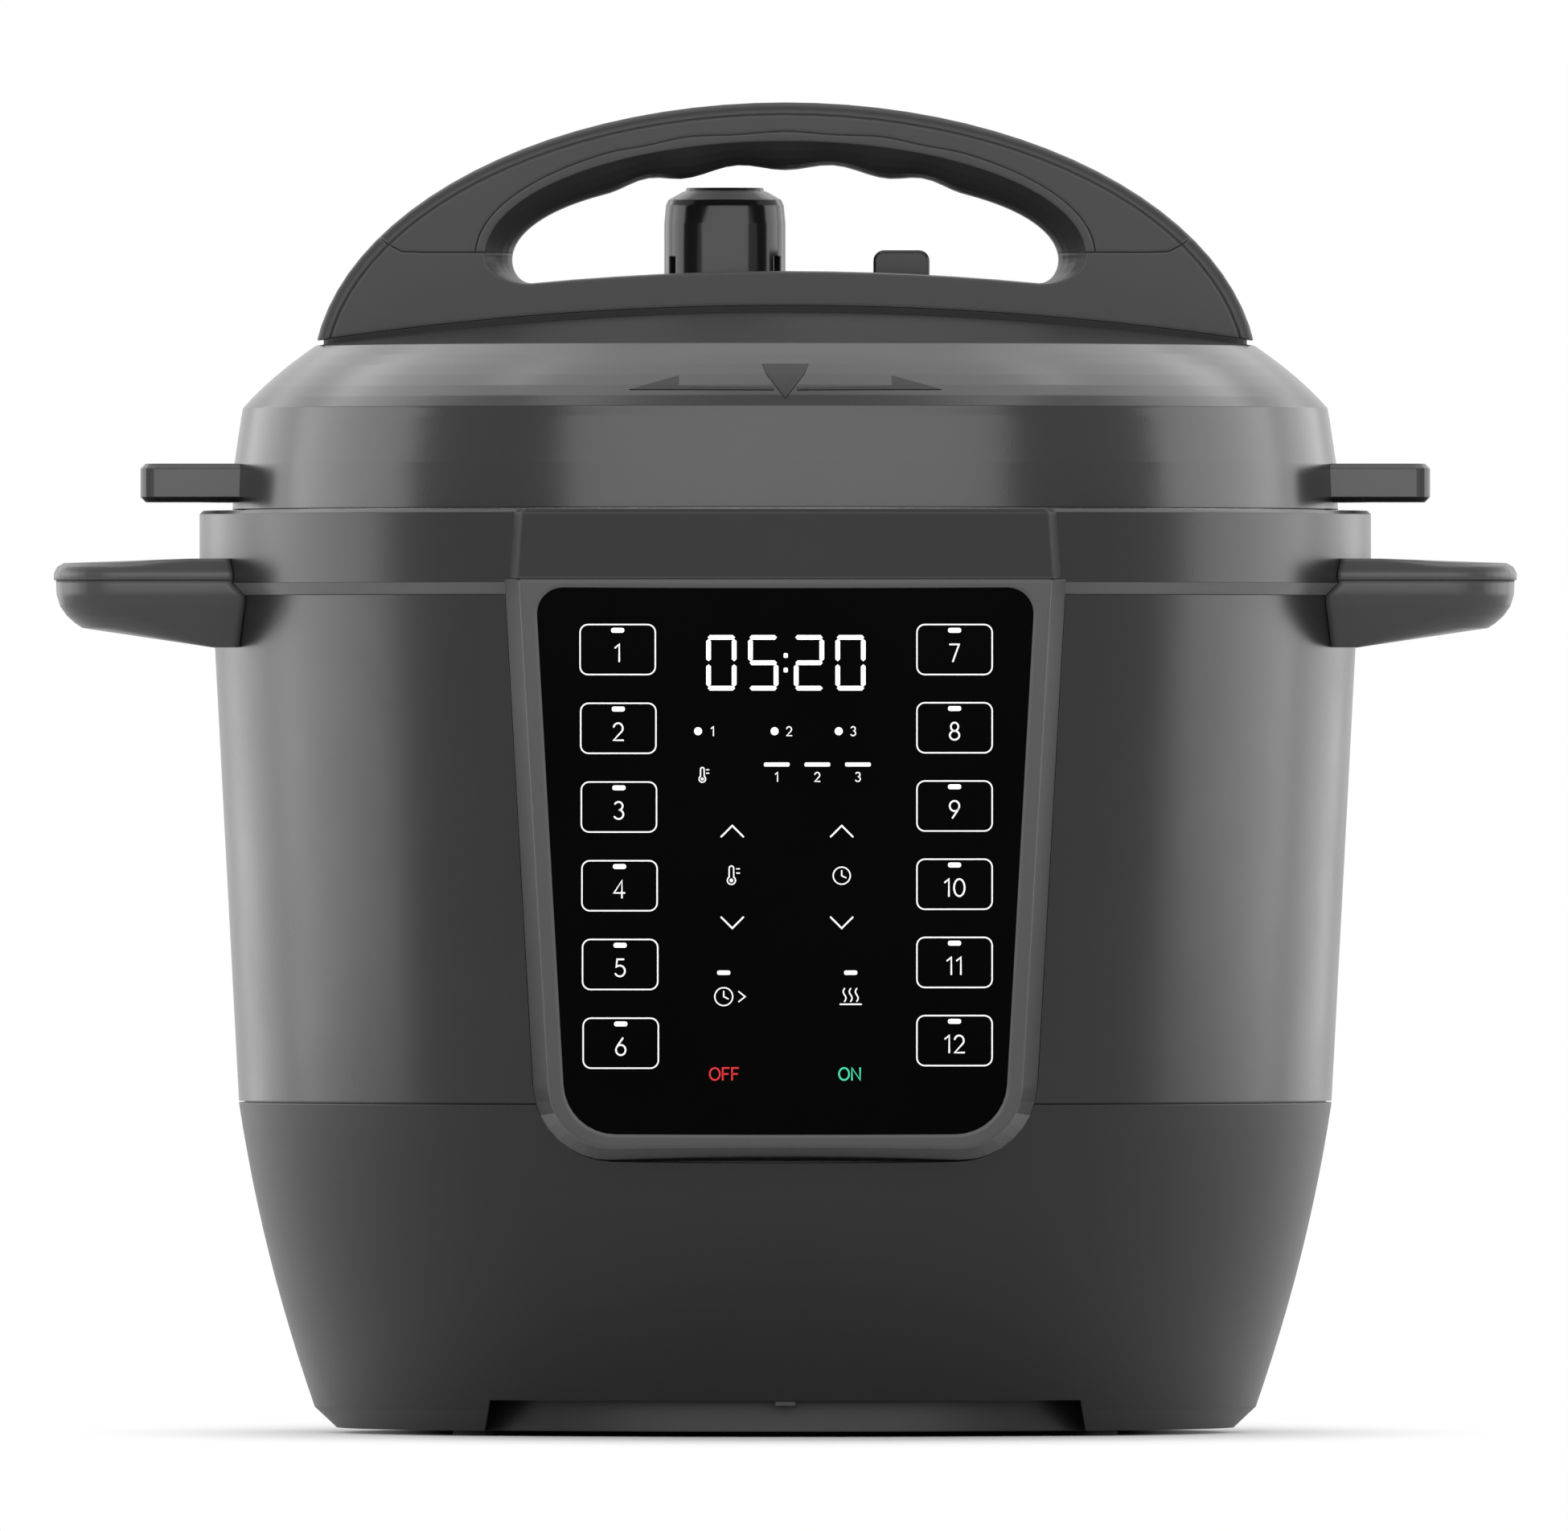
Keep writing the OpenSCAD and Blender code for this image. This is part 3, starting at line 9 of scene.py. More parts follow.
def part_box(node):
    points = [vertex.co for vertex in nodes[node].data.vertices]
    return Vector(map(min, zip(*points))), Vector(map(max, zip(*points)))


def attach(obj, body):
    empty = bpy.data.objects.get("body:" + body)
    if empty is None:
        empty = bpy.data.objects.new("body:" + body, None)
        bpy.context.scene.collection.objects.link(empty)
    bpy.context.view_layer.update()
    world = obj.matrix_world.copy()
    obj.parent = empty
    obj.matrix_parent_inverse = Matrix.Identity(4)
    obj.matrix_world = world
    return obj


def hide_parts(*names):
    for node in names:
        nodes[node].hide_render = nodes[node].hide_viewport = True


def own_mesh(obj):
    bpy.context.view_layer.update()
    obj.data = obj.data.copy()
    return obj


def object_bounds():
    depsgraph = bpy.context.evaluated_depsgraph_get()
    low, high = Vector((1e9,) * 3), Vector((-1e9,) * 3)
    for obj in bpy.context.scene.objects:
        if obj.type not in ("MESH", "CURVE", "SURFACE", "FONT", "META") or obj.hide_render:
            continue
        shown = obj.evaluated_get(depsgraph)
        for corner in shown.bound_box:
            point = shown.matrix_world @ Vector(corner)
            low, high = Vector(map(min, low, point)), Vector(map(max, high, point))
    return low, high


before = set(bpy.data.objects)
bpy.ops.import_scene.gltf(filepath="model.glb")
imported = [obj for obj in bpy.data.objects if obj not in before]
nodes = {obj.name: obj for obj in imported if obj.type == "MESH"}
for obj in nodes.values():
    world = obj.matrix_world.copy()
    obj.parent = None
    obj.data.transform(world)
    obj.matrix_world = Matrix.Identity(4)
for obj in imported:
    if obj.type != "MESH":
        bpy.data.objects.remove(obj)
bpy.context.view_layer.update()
scene = bpy.context.scene
scene.view_settings.view_transform = "Standard"
MM = 0.001


# ---------------------------------------------------------------- camera

LENS = 1400.0                    # mm: long, because the photograph shows next to no perspective
SENSOR = 36.0                    # mm
VIEW_WIDTH = 0.3705              # m across the picture at the object
AIM_X, AIM_Z = -0.0003, 0.0005   # m from the object's middle to the picture's

lo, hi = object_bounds()
camera = bpy.data.objects.new("camera", bpy.data.cameras.new("camera"))
scene.collection.objects.link(camera)
camera.data.lens = LENS
camera.data.sensor_width = SENSOR
camera.data.clip_start = 0.1
camera.data.clip_end = 60.0
distance = VIEW_WIDTH * LENS / SENSOR
camera.location = ((lo.x + hi.x) / 2 + AIM_X, -distance, hi.z / 2 + AIM_Z)
camera.rotation_euler = (math.radians(90), 0, 0)
scene.camera = camera


# ---------------------------------------------------------------- node trees

NEUTRAL = (1.0, 1.0, 1.0)
LOW, HIGH = 0.3, 0.7             # nearly all of a noise texture lies between these
BEVEL_SAMPLES = 6


def grey(value, tint=NEUTRAL):
    return (value * tint[0], value * tint[1], value * tint[2], 1.0)


class Nodes:
    """A short way to write the node tree of a material or a world."""

    def __init__(self, owner):
        owner.use_nodes = True
        self.tree = owner.node_tree

    def add(self, kind, **values):
        """A new node; each value goes to the input of that name, or else to the setting."""
        node = self.tree.nodes.new(kind)
        for key, value in values.items():
            name = key.replace("_", " ")
            if name in node.inputs:
                node.inputs[name].default_value = value
            else:
                setattr(node, key, value)
        return node

    def link(self, a, b):
        self.tree.links.new(a, b)

    def ramp(self, fac, start, end, **settings):
        """A factor mapped in a line: start and end are (from, to) pairs."""
        node = self.add("ShaderNodeMapRange", From_Min=start[0], To_Min=start[1],
                        From_Max=end[0], To_Max=end[1], **settings)
        self.link(fac, node.inputs["Value"])
        return node.outputs["Result"]

    def length(self, vector, scale):
        """Length of a vector after each axis is scaled."""
        scaled = self.add("ShaderNodeVectorMath", operation="MULTIPLY")
        self.link(vector, scaled.inputs[0])
        scaled.inputs[1].default_value = scale
        size = self.add("ShaderNodeVectorMath", operation="LENGTH")
        self.link(scaled.outputs["Vector"], size.inputs[0])
        return size.outputs["Value"]

    def rays(self, *kinds):
        """1 for rays of the named kinds and 0 for the others."""
        path = self.add("ShaderNodeLightPath")
        found = path.outputs[kinds[0]]
        for kind in kinds[1:]:
            either = self.add("ShaderNodeMath", operation="MAXIMUM")
            self.link(found, either.inputs[0])
            self.link(path.outputs[kind], either.inputs[1])
            found = either.outputs[0]
        return found

    def between(self, fac, first, second):
        """A mix of two shaders."""
        node = self.add("ShaderNodeMixShader")
        for socket, value in zip(node.inputs, (fac, first, second)):
            self.link(value, socket)
        return node.outputs[0]


class Finish(Nodes):
    """A material of the object: what feeds its Principled shader."""

    def __init__(self, name):
        self.mat = bpy.data.materials.new(name)
        super().__init__(self.mat)
        self.bsdf = self.tree.nodes["Principled BSDF"]
        self.coord = self.add("ShaderNodeTexCoord").outputs["Object"]

    def set(self, **values):
        """Numbers and colours go on the shader's own sockets, anything else is linked to them."""
        for key, value in values.items():
            socket = self.bsdf.inputs[key.replace("_", " ")]
            if isinstance(value, (int, float, tuple)):
                socket.default_value = value
            else:
                self.link(value, socket)

    def scaled(self, scale):
        """Object coordinates stretched by a scale along each axis."""
        mapping = self.add("ShaderNodeMapping", Scale=scale)
        self.link(self.coord, mapping.inputs["Vector"])
        return mapping.outputs["Vector"]

    def noise(self, scale, detail=3.0, rough=0.55, vector=None):
        node = self.add("ShaderNodeTexNoise", Scale=scale, Detail=detail, Roughness=rough)
        self.link(vector or self.coord, node.inputs["Vector"])
        return node.outputs["Fac"]

    def mix(self, fac, a, b):
        """A mix of two colours, each a tuple or a socket."""
        node = self.add("ShaderNodeMix", data_type="RGBA")
        self.link(fac, node.inputs[0])
        for value, socket in ((a, node.inputs[6]), (b, node.inputs[7])):
            if isinstance(value, tuple):
                socket.default_value = value
            else:
                self.link(value, socket)
        return node.outputs[2]

    def mottled(self, noise, value, least, most, tint=NEUTRAL):
        """A grey that a noise varies between two shares of its value."""
        fac = self.ramp(noise, (LOW, 0.0), (HIGH, 1.0))
        return self.mix(fac, grey(value * least, tint), grey(value * most, tint))

    def bump(self, height, strength, distance, normal=None):
        node = self.add("ShaderNodeBump", Strength=strength, Distance=distance)
        self.link(height, node.inputs["Height"])
        if normal:
            self.link(normal, node.inputs["Normal"])
        return node.outputs["Normal"]

    def bevel(self, radius):
        """The surface's normal with its edges rounded."""
        return self.add("ShaderNodeBevel", Radius=radius, samples=BEVEL_SAMPLES).outputs["Normal"]

    def highlight_edges(self, rounded):
        """0 on a face and 1 at its edges, where the rounded normal leaves the face's own: where a
        highlight is painted.
        """
        turn = self.add("ShaderNodeVectorMath", operation="DOT_PRODUCT")
        self.link(rounded, turn.inputs[0])
        self.link(self.add("ShaderNodeNewGeometry").outputs["Normal"], turn.inputs[1])
        return self.ramp(turn.outputs["Value"], (0.995, 0.0), (0.86, 1.0))

    def radius(self):
        """Distance from the pot's axis."""
        return self.length(self.coord, (1.0, 1.0, 0.0))

    def facing(self, low, high):
        """0 to 1 as the normal's Z goes from low to high: 1 looks straight up, -1 straight down."""
        part = self.add("ShaderNodeSeparateXYZ")
        self.link(self.add("ShaderNodeNewGeometry").outputs["Normal"], part.inputs[0])
        return self.ramp(part.outputs["Z"], (low, 0.0), (high, 1.0))


# ---------------------------------------------------------------- materials

def moulded(name, value, rough, spec, grain=1600.0, edge=0.0004, edge_highlight=1.6, shade_upward=False, under=1.0):
    """Moulded plastic: spark-eroded grain, faint flow marks, and edges painted lighter as a
    highlight.

    A switch makes faces that look up dull and painted darker as shade; another factor paints faces
    that look down lighter, as light thrown up from below.
    """
    tint = (1.0, 1.0, 1.01)
    m = Finish(name)
    tone = m.mottled(m.noise(14.0, detail=4.0, rough=0.6), value, 0.96, 1.04, tint)
    rounded = m.bevel(edge)
    # Edges are painted lighter: a painted highlight along them.
    tone = m.mix(m.highlight_edges(rounded), tone, grey(value * edge_highlight, tint))
    gloss = m.ramp(m.noise(60.0), (LOW, rough - 0.008), (HIGH, rough + 0.012))
    # Faces that look up are painted darker, as shade, and made dull.
    if shade_upward:
        level = m.facing(0.8, 0.95)
        tone = m.mix(level, tone, grey(value * 0.5, tint))
        gloss = m.mix(level, gloss, grey(0.95))
    # Faces that look down are painted lighter, as light thrown up from the floor.
    if under != 1.0:
        tone = m.mix(m.facing(-0.3, -0.5), tone, grey(value * under, tint))
    fine = m.noise(grain, detail=2.0, rough=0.6)
    m.set(Base_Color=tone, Roughness=gloss, Specular_IOR_Level=spec,
          Normal=m.bump(fine, strength=0.35, distance=0.00003, normal=rounded))
    return m.mat


def painted(name, value, rough, spec):
    """Flaked paint over sheet steel, with a little orange peel in its gloss."""
    m = Finish(name)
    flakes = m.add("ShaderNodeTexVoronoi", Scale=9000.0)
    m.link(m.coord, flakes.inputs["Vector"])
    tone = m.mottled(m.noise(9.0), value, 0.96, 1.04)
    glint = m.ramp(flakes.outputs["Distance"], (0.1, 0.35), (0.6, 0.0))
    tone = m.mix(glint, tone, grey(value * 1.35))
    peel = m.noise(420.0, detail=2.0, rough=0.5)
    m.set(Base_Color=tone, Specular_IOR_Level=spec,
          Roughness=m.ramp(m.noise(40.0), (LOW, rough - 0.02), (HIGH, rough + 0.03)),
          Normal=m.bump(peel, strength=0.08, distance=0.00004, normal=m.bevel(0.0003)))
    return m.mat


def brushed(name, value, rough, stretch, strength=0.25, edge=0.0003, shade_beyond=None):
    """Metal with the fine parallel marks of its brushing or turning, painted dark as shade outside
    a radius.
    """
    m = Finish(name)
    lines = m.noise(1.0, detail=4.0, rough=0.7, vector=m.scaled(stretch))
    tone = m.mottled(lines, value, 0.9, 1.06)
    # Painted shade: beyond the radius the metal is painted near black.
    if shade_beyond:
        beyond = m.ramp(m.radius(), (shade_beyond - 0.0002, 0.0), (shade_beyond, 1.0))
        tone = m.mix(beyond, tone, grey(0.03))
    m.set(Base_Color=tone, Metallic=1.0,
          Roughness=m.ramp(m.noise(12.0), (LOW, rough - 0.04), (HIGH, rough + 0.05)),
          Normal=m.bump(lines, strength, distance=0.00003, normal=m.bevel(edge)))
    return m.mat


def glossy(name, value, rough, spec=0.5, tint=NEUTRAL, smear=0.05):
    """Smooth moulded plastic with faint handling marks in its gloss."""
    m = Finish(name)
    marks = m.noise(35.0, detail=5.0, rough=0.65)
    wave = m.noise(90.0, detail=2.0)
    m.set(Base_Color=m.mottled(m.noise(25.0), value, 0.9, 1.1, tint), Specular_IOR_Level=spec,
          Roughness=m.ramp(marks, (0.35, rough), (HIGH, rough + smear)),
          Normal=m.bump(wave, strength=0.05, distance=0.00005, normal=m.bevel(0.0005)))
    return m.mat


def rubbery(name, value, rough, tint=NEUTRAL, sub=0.0):
    """Rubber or silicone: matt, powdery grain, with light inside where sub is above 0."""
    m = Finish(name)
    powder = m.noise(2500.0, detail=2.0)
    tone = m.mix(m.noise(30.0, detail=4.0), grey(value * 0.85, tint), grey(value * 1.15, tint))
    m.set(Base_Color=tone, Specular_IOR_Level=0.35,
          Subsurface_Weight=sub, Subsurface_Scale=0.002,
          Roughness=m.ramp(m.noise(200.0), (LOW, rough - 0.05), (HIGH, rough + 0.05)),
          Normal=m.bump(powder, strength=0.3, distance=0.00003, normal=m.bevel(0.0003)))
    return m.mat


def circuit(name):
    """Lacquered board with copper runs showing through the lacquer."""
    m = Finish(name)
    runs = m.add("ShaderNodeTexBrick", Scale=260.0, Mortar_Size=0.06,
                 Color1=(0.012, 0.09, 0.03, 1), Color2=(0.015, 0.12, 0.04, 1),
                 Mortar=(0.08, 0.22, 0.07, 1))
    m.link(m.coord, runs.inputs["Vector"])
    m.set(Base_Color=runs.outputs["Color"],
          Roughness=m.ramp(m.noise(80.0), (LOW, 0.3), (HIGH, 0.45)),
          Normal=m.bump(runs.outputs["Fac"], strength=0.3, distance=0.00005))
    return m.mat


def ink(name, color, strength):
    """Printed ink lit from behind, a little uneven in tone."""
    m = Finish(name)
    dim = tuple(c * 0.9 for c in color) + (1.0,)
    tone = m.mix(m.noise(900.0, detail=2.0), dim, color + (1.0,))
    m.set(Base_Color=tone, Roughness=0.5, Emission_Color=tone,
          Emission_Strength=strength, Specular_IOR_Level=0.2)
    return m.mat


WELL_SHADE_RADIUS = 0.1142             # m: the well's flange beyond it shows in gaps only, and is painted dark there as the shade of those gaps

SHELL = painted("dark_paint", 0.010, rough=0.25, spec=0.32)
LID = moulded("lid_plastic", 0.012, rough=0.2, spec=0.36)
# Rim and skirt: faces that look up painted darker as shade; rim and bezel: faces that look down
# painted lighter as bounce light.
RIM = moulded("rim_plastic", 0.011, rough=0.24, spec=0.3, shade_upward=True, under=6.0)
# Bezel, badge plate and arch: edges painted lighter still, as highlights.
BEZEL = moulded("bezel_plastic", 0.028, rough=0.3, spec=0.36, edge=0.0012, edge_highlight=2.6, under=4.5)
SKIRT = moulded("skirt_plastic", 0.006, rough=0.38, spec=0.32, shade_upward=True)
PLATE = moulded("plate_plastic", 0.020, rough=0.5, spec=0.1, edge=0.0011, edge_highlight=3.6)
DOME = moulded("dome_plastic", 0.024, rough=0.5, spec=0.03)
ARCH = moulded("arch_plastic", 0.03, rough=0.38, spec=0.18, edge=0.0009, edge_highlight=3.0)
GRIP = moulded("grip_plastic", 0.03, rough=0.3, spec=0.34, edge=0.0022)
COVER = moulded("handle_plastic", 0.03, rough=0.3, spec=0.34, edge=0.0018)
KNOB = glossy("knob_plastic", 0.008, rough=0.12, spec=0.24)
BUTTON = glossy("button_plastic", 0.007, rough=0.22, spec=0.22)
SOCKET = moulded("inlet_plastic", 0.010, rough=0.38, spec=0.5, grain=2200.0)
PANEL = glossy("panel_film", 0.0012, rough=0.22, spec=0.006, tint=(1.0, 0.95, 1.1), smear=0.03)
DISPLAY = glossy("display_plastic", 0.02, rough=0.2)
CUP = glossy("cup_plastic", 0.05, rough=0.16)
FOOT = rubbery("foot_rubber", 0.02, rough=0.75)
SILICONE = rubbery("seal_silicone", 0.45, rough=0.5, tint=(1.0, 1.0, 0.96), sub=0.2)
RED = rubbery("float_red", 0.45, rough=0.4, tint=(1.0, 0.08, 0.06))
STEEL = brushed("steel_brushed", 0.46, rough=0.38, stretch=(30, 30, 2600))
WELL = brushed("steel_well", 0.5, rough=0.32, stretch=(30, 30, 2600), shade_beyond=WELL_SHADE_RADIUS)
TURNED = brushed("steel_turned", 0.5, rough=0.33, stretch=(12, 12, 3200), strength=0.15)
WIRE = brushed("steel_drawn", 0.66, rough=0.16, stretch=(500, 500, 500), strength=0.08, edge=0.0001)
ZINC = brushed("steel_plated", 0.5, rough=0.34, stretch=(180, 180, 180), strength=0.2)
CAST = brushed("aluminium_cast", 0.6, rough=0.42, stretch=(700, 700, 700), strength=0.5)
BOARD = circuit("board_lacquer")

LOOKS = {
    "base_skirt": SKIRT, "feet": FOOT, "base_screws": ZINC, "body_shell": SHELL,
    "upper_rim": RIM, "badge_plate": PLATE, "front_housing": BEZEL, "touch_panel": PANEL,
    "display_module": DISPLAY, "control_board": BOARD, "handle_cover_left": COVER,
    "handle_cover_right": COVER, "handle_grip_left": GRIP, "handle_grip_right": GRIP,
    "outer_pot": WELL, "lug_ring": STEEL, "heating_plate": CAST, "sensor_bracket": ZINC,
    "temperature_sensor": CAST, "sensor_spring": WIRE, "heat_shield": ZINC,
    "power_board": BOARD, "power_inlet": SOCKET, "inlet_pins": WIRE,
    "condensation_cup": CUP, "inner_pot": TURNED, "sealing_ring": SILICONE,
    "lid_cover": LID, "lid_dome": DOME, "arch_base": ARCH, "arch_grip": ARCH,
    "lid_plate": TURNED, "ring_rack": WIRE, "lid_screws": ZINC, "steam_pipe": TURNED,
    "pipe_nut": ZINC, "anti_block_shield": TURNED, "float_valve": RED, "float_cap": SILICONE,
    "quick_release_button": BUTTON, "button_spring": WIRE, "vent_lever": ZINC,
    "lever_bracket": ZINC, "vent_collar": SOCKET, "steam_release_valve": KNOB,
}
for name, obj in nodes.items():
    obj.data.materials.clear()
    obj.data.materials.append(LOOKS[name])


# ---------------------------------------------------------------- springs

def coil(name, body):
    """A CAD node's spring as a piece with its own mesh, tied to a body in place of the hidden node.
    """
    piece = bpy.data.objects.new(name + "_coil", nodes[name].data.copy())
    scene.collection.objects.link(piece)
    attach(piece, body)
    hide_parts(name)
    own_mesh(piece)


coil("sensor_spring", "base")
coil("button_spring", "lid")


# ---------------------------------------------------------------- flat shapes laid on a surface
# Their outlines are in millimetres, (x, z) as seen from the front.

MITRE = 1.6                      # most that a corner may reach past half the stroke's width
CAP, TAPER = 0.75, 0.4           # a stroke's end reaches out and narrows by these shares of it


class Ground:
    """A CAD node's surface as it is met by a ray along +Y."""

    def __init__(self, node):
        mesh = nodes[node].data
        self.tree = BVHTree.FromPolygons([v.co for v in mesh.vertices],
                                         [tuple(p.vertices) for p in mesh.polygons])
        self.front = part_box(node)[0].y - 10 * MM

    def y(self, x, z):
        hit = self.tree.ray_cast(Vector((x, self.front, z)), Vector((0, 1, 0)))[0]
        return None if hit is None else hit.y


def arc(cx, cy, rx, ry, start, end, n=10):
    """Points along part of an ellipse, from one angle to another in degrees."""
    return [(cx + rx * math.cos(math.radians(start + (end - start) * i / n)),
             cy + ry * math.sin(math.radians(start + (end - start) * i / n)))
            for i in range(n + 1)]


def circle(cx, cy, r, n):
    return [(cx + r * math.cos(2 * math.pi * i / n), cy + r * math.sin(2 * math.pi * i / n))
            for i in range(n)]


def rounded_box(cx, cy, w, h, r, n=6):
    pts = []
    for sx, sy, start in ((1, 1, 0), (-1, 1, 90), (-1, -1, 180), (1, -1, 270)):
        pts += arc(cx + sx * (w / 2 - r), cy + sy * (h / 2 - r), r, r, start, start + 90, n)
    return pts


def ribbon(points, width, closed=False):
    """Quads of a stroke of one width along a line, with mitred corners and blunt ends."""
    pts = [Vector(p) for p in points]
    n = len(pts)
    sides = []
    for i, p in enumerate(pts):
        before = (p - pts[i - 1]).normalized() if closed or i else None
        after = (pts[(i + 1) % n] - p).normalized() if closed or i < n - 1 else None
        along = ((before or after) + (after or before)).normalized()
        normal = Vector((-along.y, along.x))
        mitre = 1.0
        if before and after:
            turn = normal.dot(Vector((-before.y, before.x)))
            mitre = 1.0 / max(1.0 / MITRE, turn)
        sides.append((p + normal * width / 2 * mitre, p - normal * width / 2 * mitre))
    faces = []
    for i in range(n if closed else n - 1):
        (a, b), (c, d) = sides[i], sides[(i + 1) % n]
        faces.append([a, b, d, c])
    if not closed:
        for p, q, (a, b) in ((pts[0], pts[1], sides[0]), (pts[-1], pts[-2], sides[-1])):
            out = (p - q).normalized() * width / 2
            faces.append([a, b, b + out * CAP + (p - b) * TAPER, a + out * CAP + (p - a) * TAPER])
    return faces


def fan(points):
    """A convex outline, cut into triangles round its middle."""
    pts = [Vector(p) for p in points]
    mid = sum(pts, Vector((0, 0))) / len(pts)
    return [[mid, pts[i], pts[(i + 1) % len(pts)]] for i in range(len(pts))]


def split_long(faces, limit):
    """Cuts triangles and quads with a side over a limit, so that they can follow a curve."""
    out = []
    todo = list(faces)
    while todo:
        f = todo.pop()
        n = len(f)
        sides = [(f[(i + 1) % n] - f[i]).length for i in range(n)]
        k = sides.index(max(sides))
        if sides[k] <= limit:
            out.append(f)
            continue
        a, b = f[k], f[(k + 1) % n]
        m = (a + b) / 2
        c = f[(k + 2) % n]
        if n == 3:
            todo += [[a, m, c], [m, b, c]]
        else:
            d = f[(k + 3) % n]
            m2 = (c + d) / 2
            todo += [[a, m, m2, d], [m, b, c, m2]]
    return out


def lay(name, faces, ground, body, material, lift=0.05, sink=0.03, limit=3.0):
    """A thin closed relief that stands out of a surface by lift and goes into it by sink."""
    index, front, back, outlines = {}, [], [], []

    def vertex(p):
        key = (round(p.x, 3), round(p.y, 3))
        if key not in index:
            y = ground.y(p.x * MM, p.y * MM)
            if y is None:
                raise ValueError(f"{name} reaches past its surface at {key}")
            index[key] = len(front)
            front.append((p.x * MM, y - lift * MM, p.y * MM))
            back.append((p.x * MM, y + sink * MM, p.y * MM))
        return index[key]

    for f in split_long(faces, limit):
        ids = [vertex(p) for p in f]
        ids = [v for i, v in enumerate(ids) if v != ids[i - 1]]
        if len(ids) < 3:
            continue
        area = sum(front[a][0] * front[b][2] - front[b][0] * front[a][2]
                   for a, b in zip(ids, ids[1:] + ids[:1]))
        outlines.append(ids if area > 0 else ids[::-1])
    edges = dict.fromkeys((a, b) for f in outlines for a, b in zip(f, f[1:] + f[:1]))
    n = len(front)
    shape = [tuple(f) for f in outlines] + [tuple(v + n for v in reversed(f)) for f in outlines]
    shape += [(b, a, a + n, b + n) for a, b in edges if (b, a) not in edges]
    mesh = bpy.data.meshes.new(name)
    mesh.from_pydata(front + back, [], shape)
    mesh.validate()
    mesh.update()
    mesh.materials.append(material)
    obj = bpy.data.objects.new(name, mesh)
    scene.collection.objects.link(obj)
    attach(obj, body)


# Each sign's width, and its strokes in a box one unit high
SIGNS = {
    "0": (0.62, [arc(0.31, 0.5, 0.31, 0.5, 0, 360, 24)]),
    "1": (0.34, [[(0.02, 0.8), (0.26, 1.0), (0.26, 0.0)]]),
    "2": (0.58, [arc(0.28, 0.7, 0.27, 0.3, 165, -35, 12) + [(0.02, 0.0), (0.58, 0.0)]]),
    "3": (0.56, [arc(0.26, 0.76, 0.24, 0.24, 150, -80, 10),
                 arc(0.26, 0.27, 0.28, 0.27, 80, -150, 12)]),
    "4": (0.64, [[(0.46, 0.0), (0.46, 1.0), (0.0, 0.28), (0.62, 0.28)]]),
    "5": (0.58, [[(0.5, 1.0), (0.12, 1.0), (0.06, 0.56)]
                 + arc(0.27, 0.32, 0.3, 0.32, 125, -150, 12)]),
    "6": (0.6, [arc(0.3, 0.3, 0.28, 0.3, 0, 360, 20), [(0.42, 1.0), (0.16, 0.62), (0.05, 0.42)]]),
    "7": (0.56, [[(0.0, 1.0), (0.54, 1.0), (0.18, 0.0)]]),
    "8": (0.58, [arc(0.29, 0.76, 0.22, 0.24, 0, 360, 18), arc(0.29, 0.26, 0.28, 0.26, 0, 360, 18)]),
    "9": (0.6, [arc(0.3, 0.7, 0.28, 0.3, 0, 360, 20), [(0.18, 0.0), (0.44, 0.38), (0.55, 0.58)]]),
    "O": (0.84, [arc(0.42, 0.5, 0.42, 0.5, 0, 360, 26)]),
    "N": (0.74, [[(0.02, 0.0), (0.02, 1.0), (0.7, 0.0), (0.7, 1.0)]]),
    "F": (0.56, [[(0.02, 0.0), (0.02, 1.0), (0.54, 1.0)], [(0.02, 0.5), (0.46, 0.5)]]),
}
SIGN_GAP = 0.22


def write(text, cx, cy, height, stroke):
    """Faces of a few signs, centred on a point."""
    total = (sum(SIGNS[c][0] for c in text) + SIGN_GAP * (len(text) - 1)) * height
    x = cx - total / 2
    out = []
    for width, lines in (SIGNS[c] for c in text):
        for line in lines:
            pts = [(x + px * height, cy + (py - 0.5) * height) for px, py in line]
            closed = (Vector(pts[0]) - Vector(pts[-1])).length < 1e-6
            out += ribbon(pts[:-1] if closed else pts, stroke, closed)
        x += (width + SIGN_GAP) * height
    return out


# ---------------------------------------------------------------- touch panel
# Heights are measured down from the panel's top edge, in millimetres.

panel = Ground("touch_panel")
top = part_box("touch_panel")[1].z / MM
WHITE = ink("print_white", (0.62, 0.62, 0.62), 0.35)
LIT = ink("display_white", (0.72, 0.72, 0.72), 0.55)
RED_INK = ink("print_red", (0.42, 0.012, 0.016), 0.45)
GREEN_INK = ink("print_green", (0.03, 0.42, 0.24), 0.45)
THIN, FINE, BOLD = 0.3, 0.32, 0.42     # strokes of labels, small signs, and numbers and chevrons

KEY_W, KEY_H, KEY_R, KEY_PITCH = 17.6, 11.7, 1.85, 18.42
KEY_TOP = 14.5                   # middle of the first row
KEY_COLUMNS = (                  # side, first number, middle, and what each row moves in and up
    (-1, 1, 39.2, 0.14, 0.0),
    (1, 7, 39.6, 0.0, 0.12),
)
LAMP_W, LAMP_H, LAMP_R, LAMP_DOWN = 3.1, 1.15, 0.5, 1.35

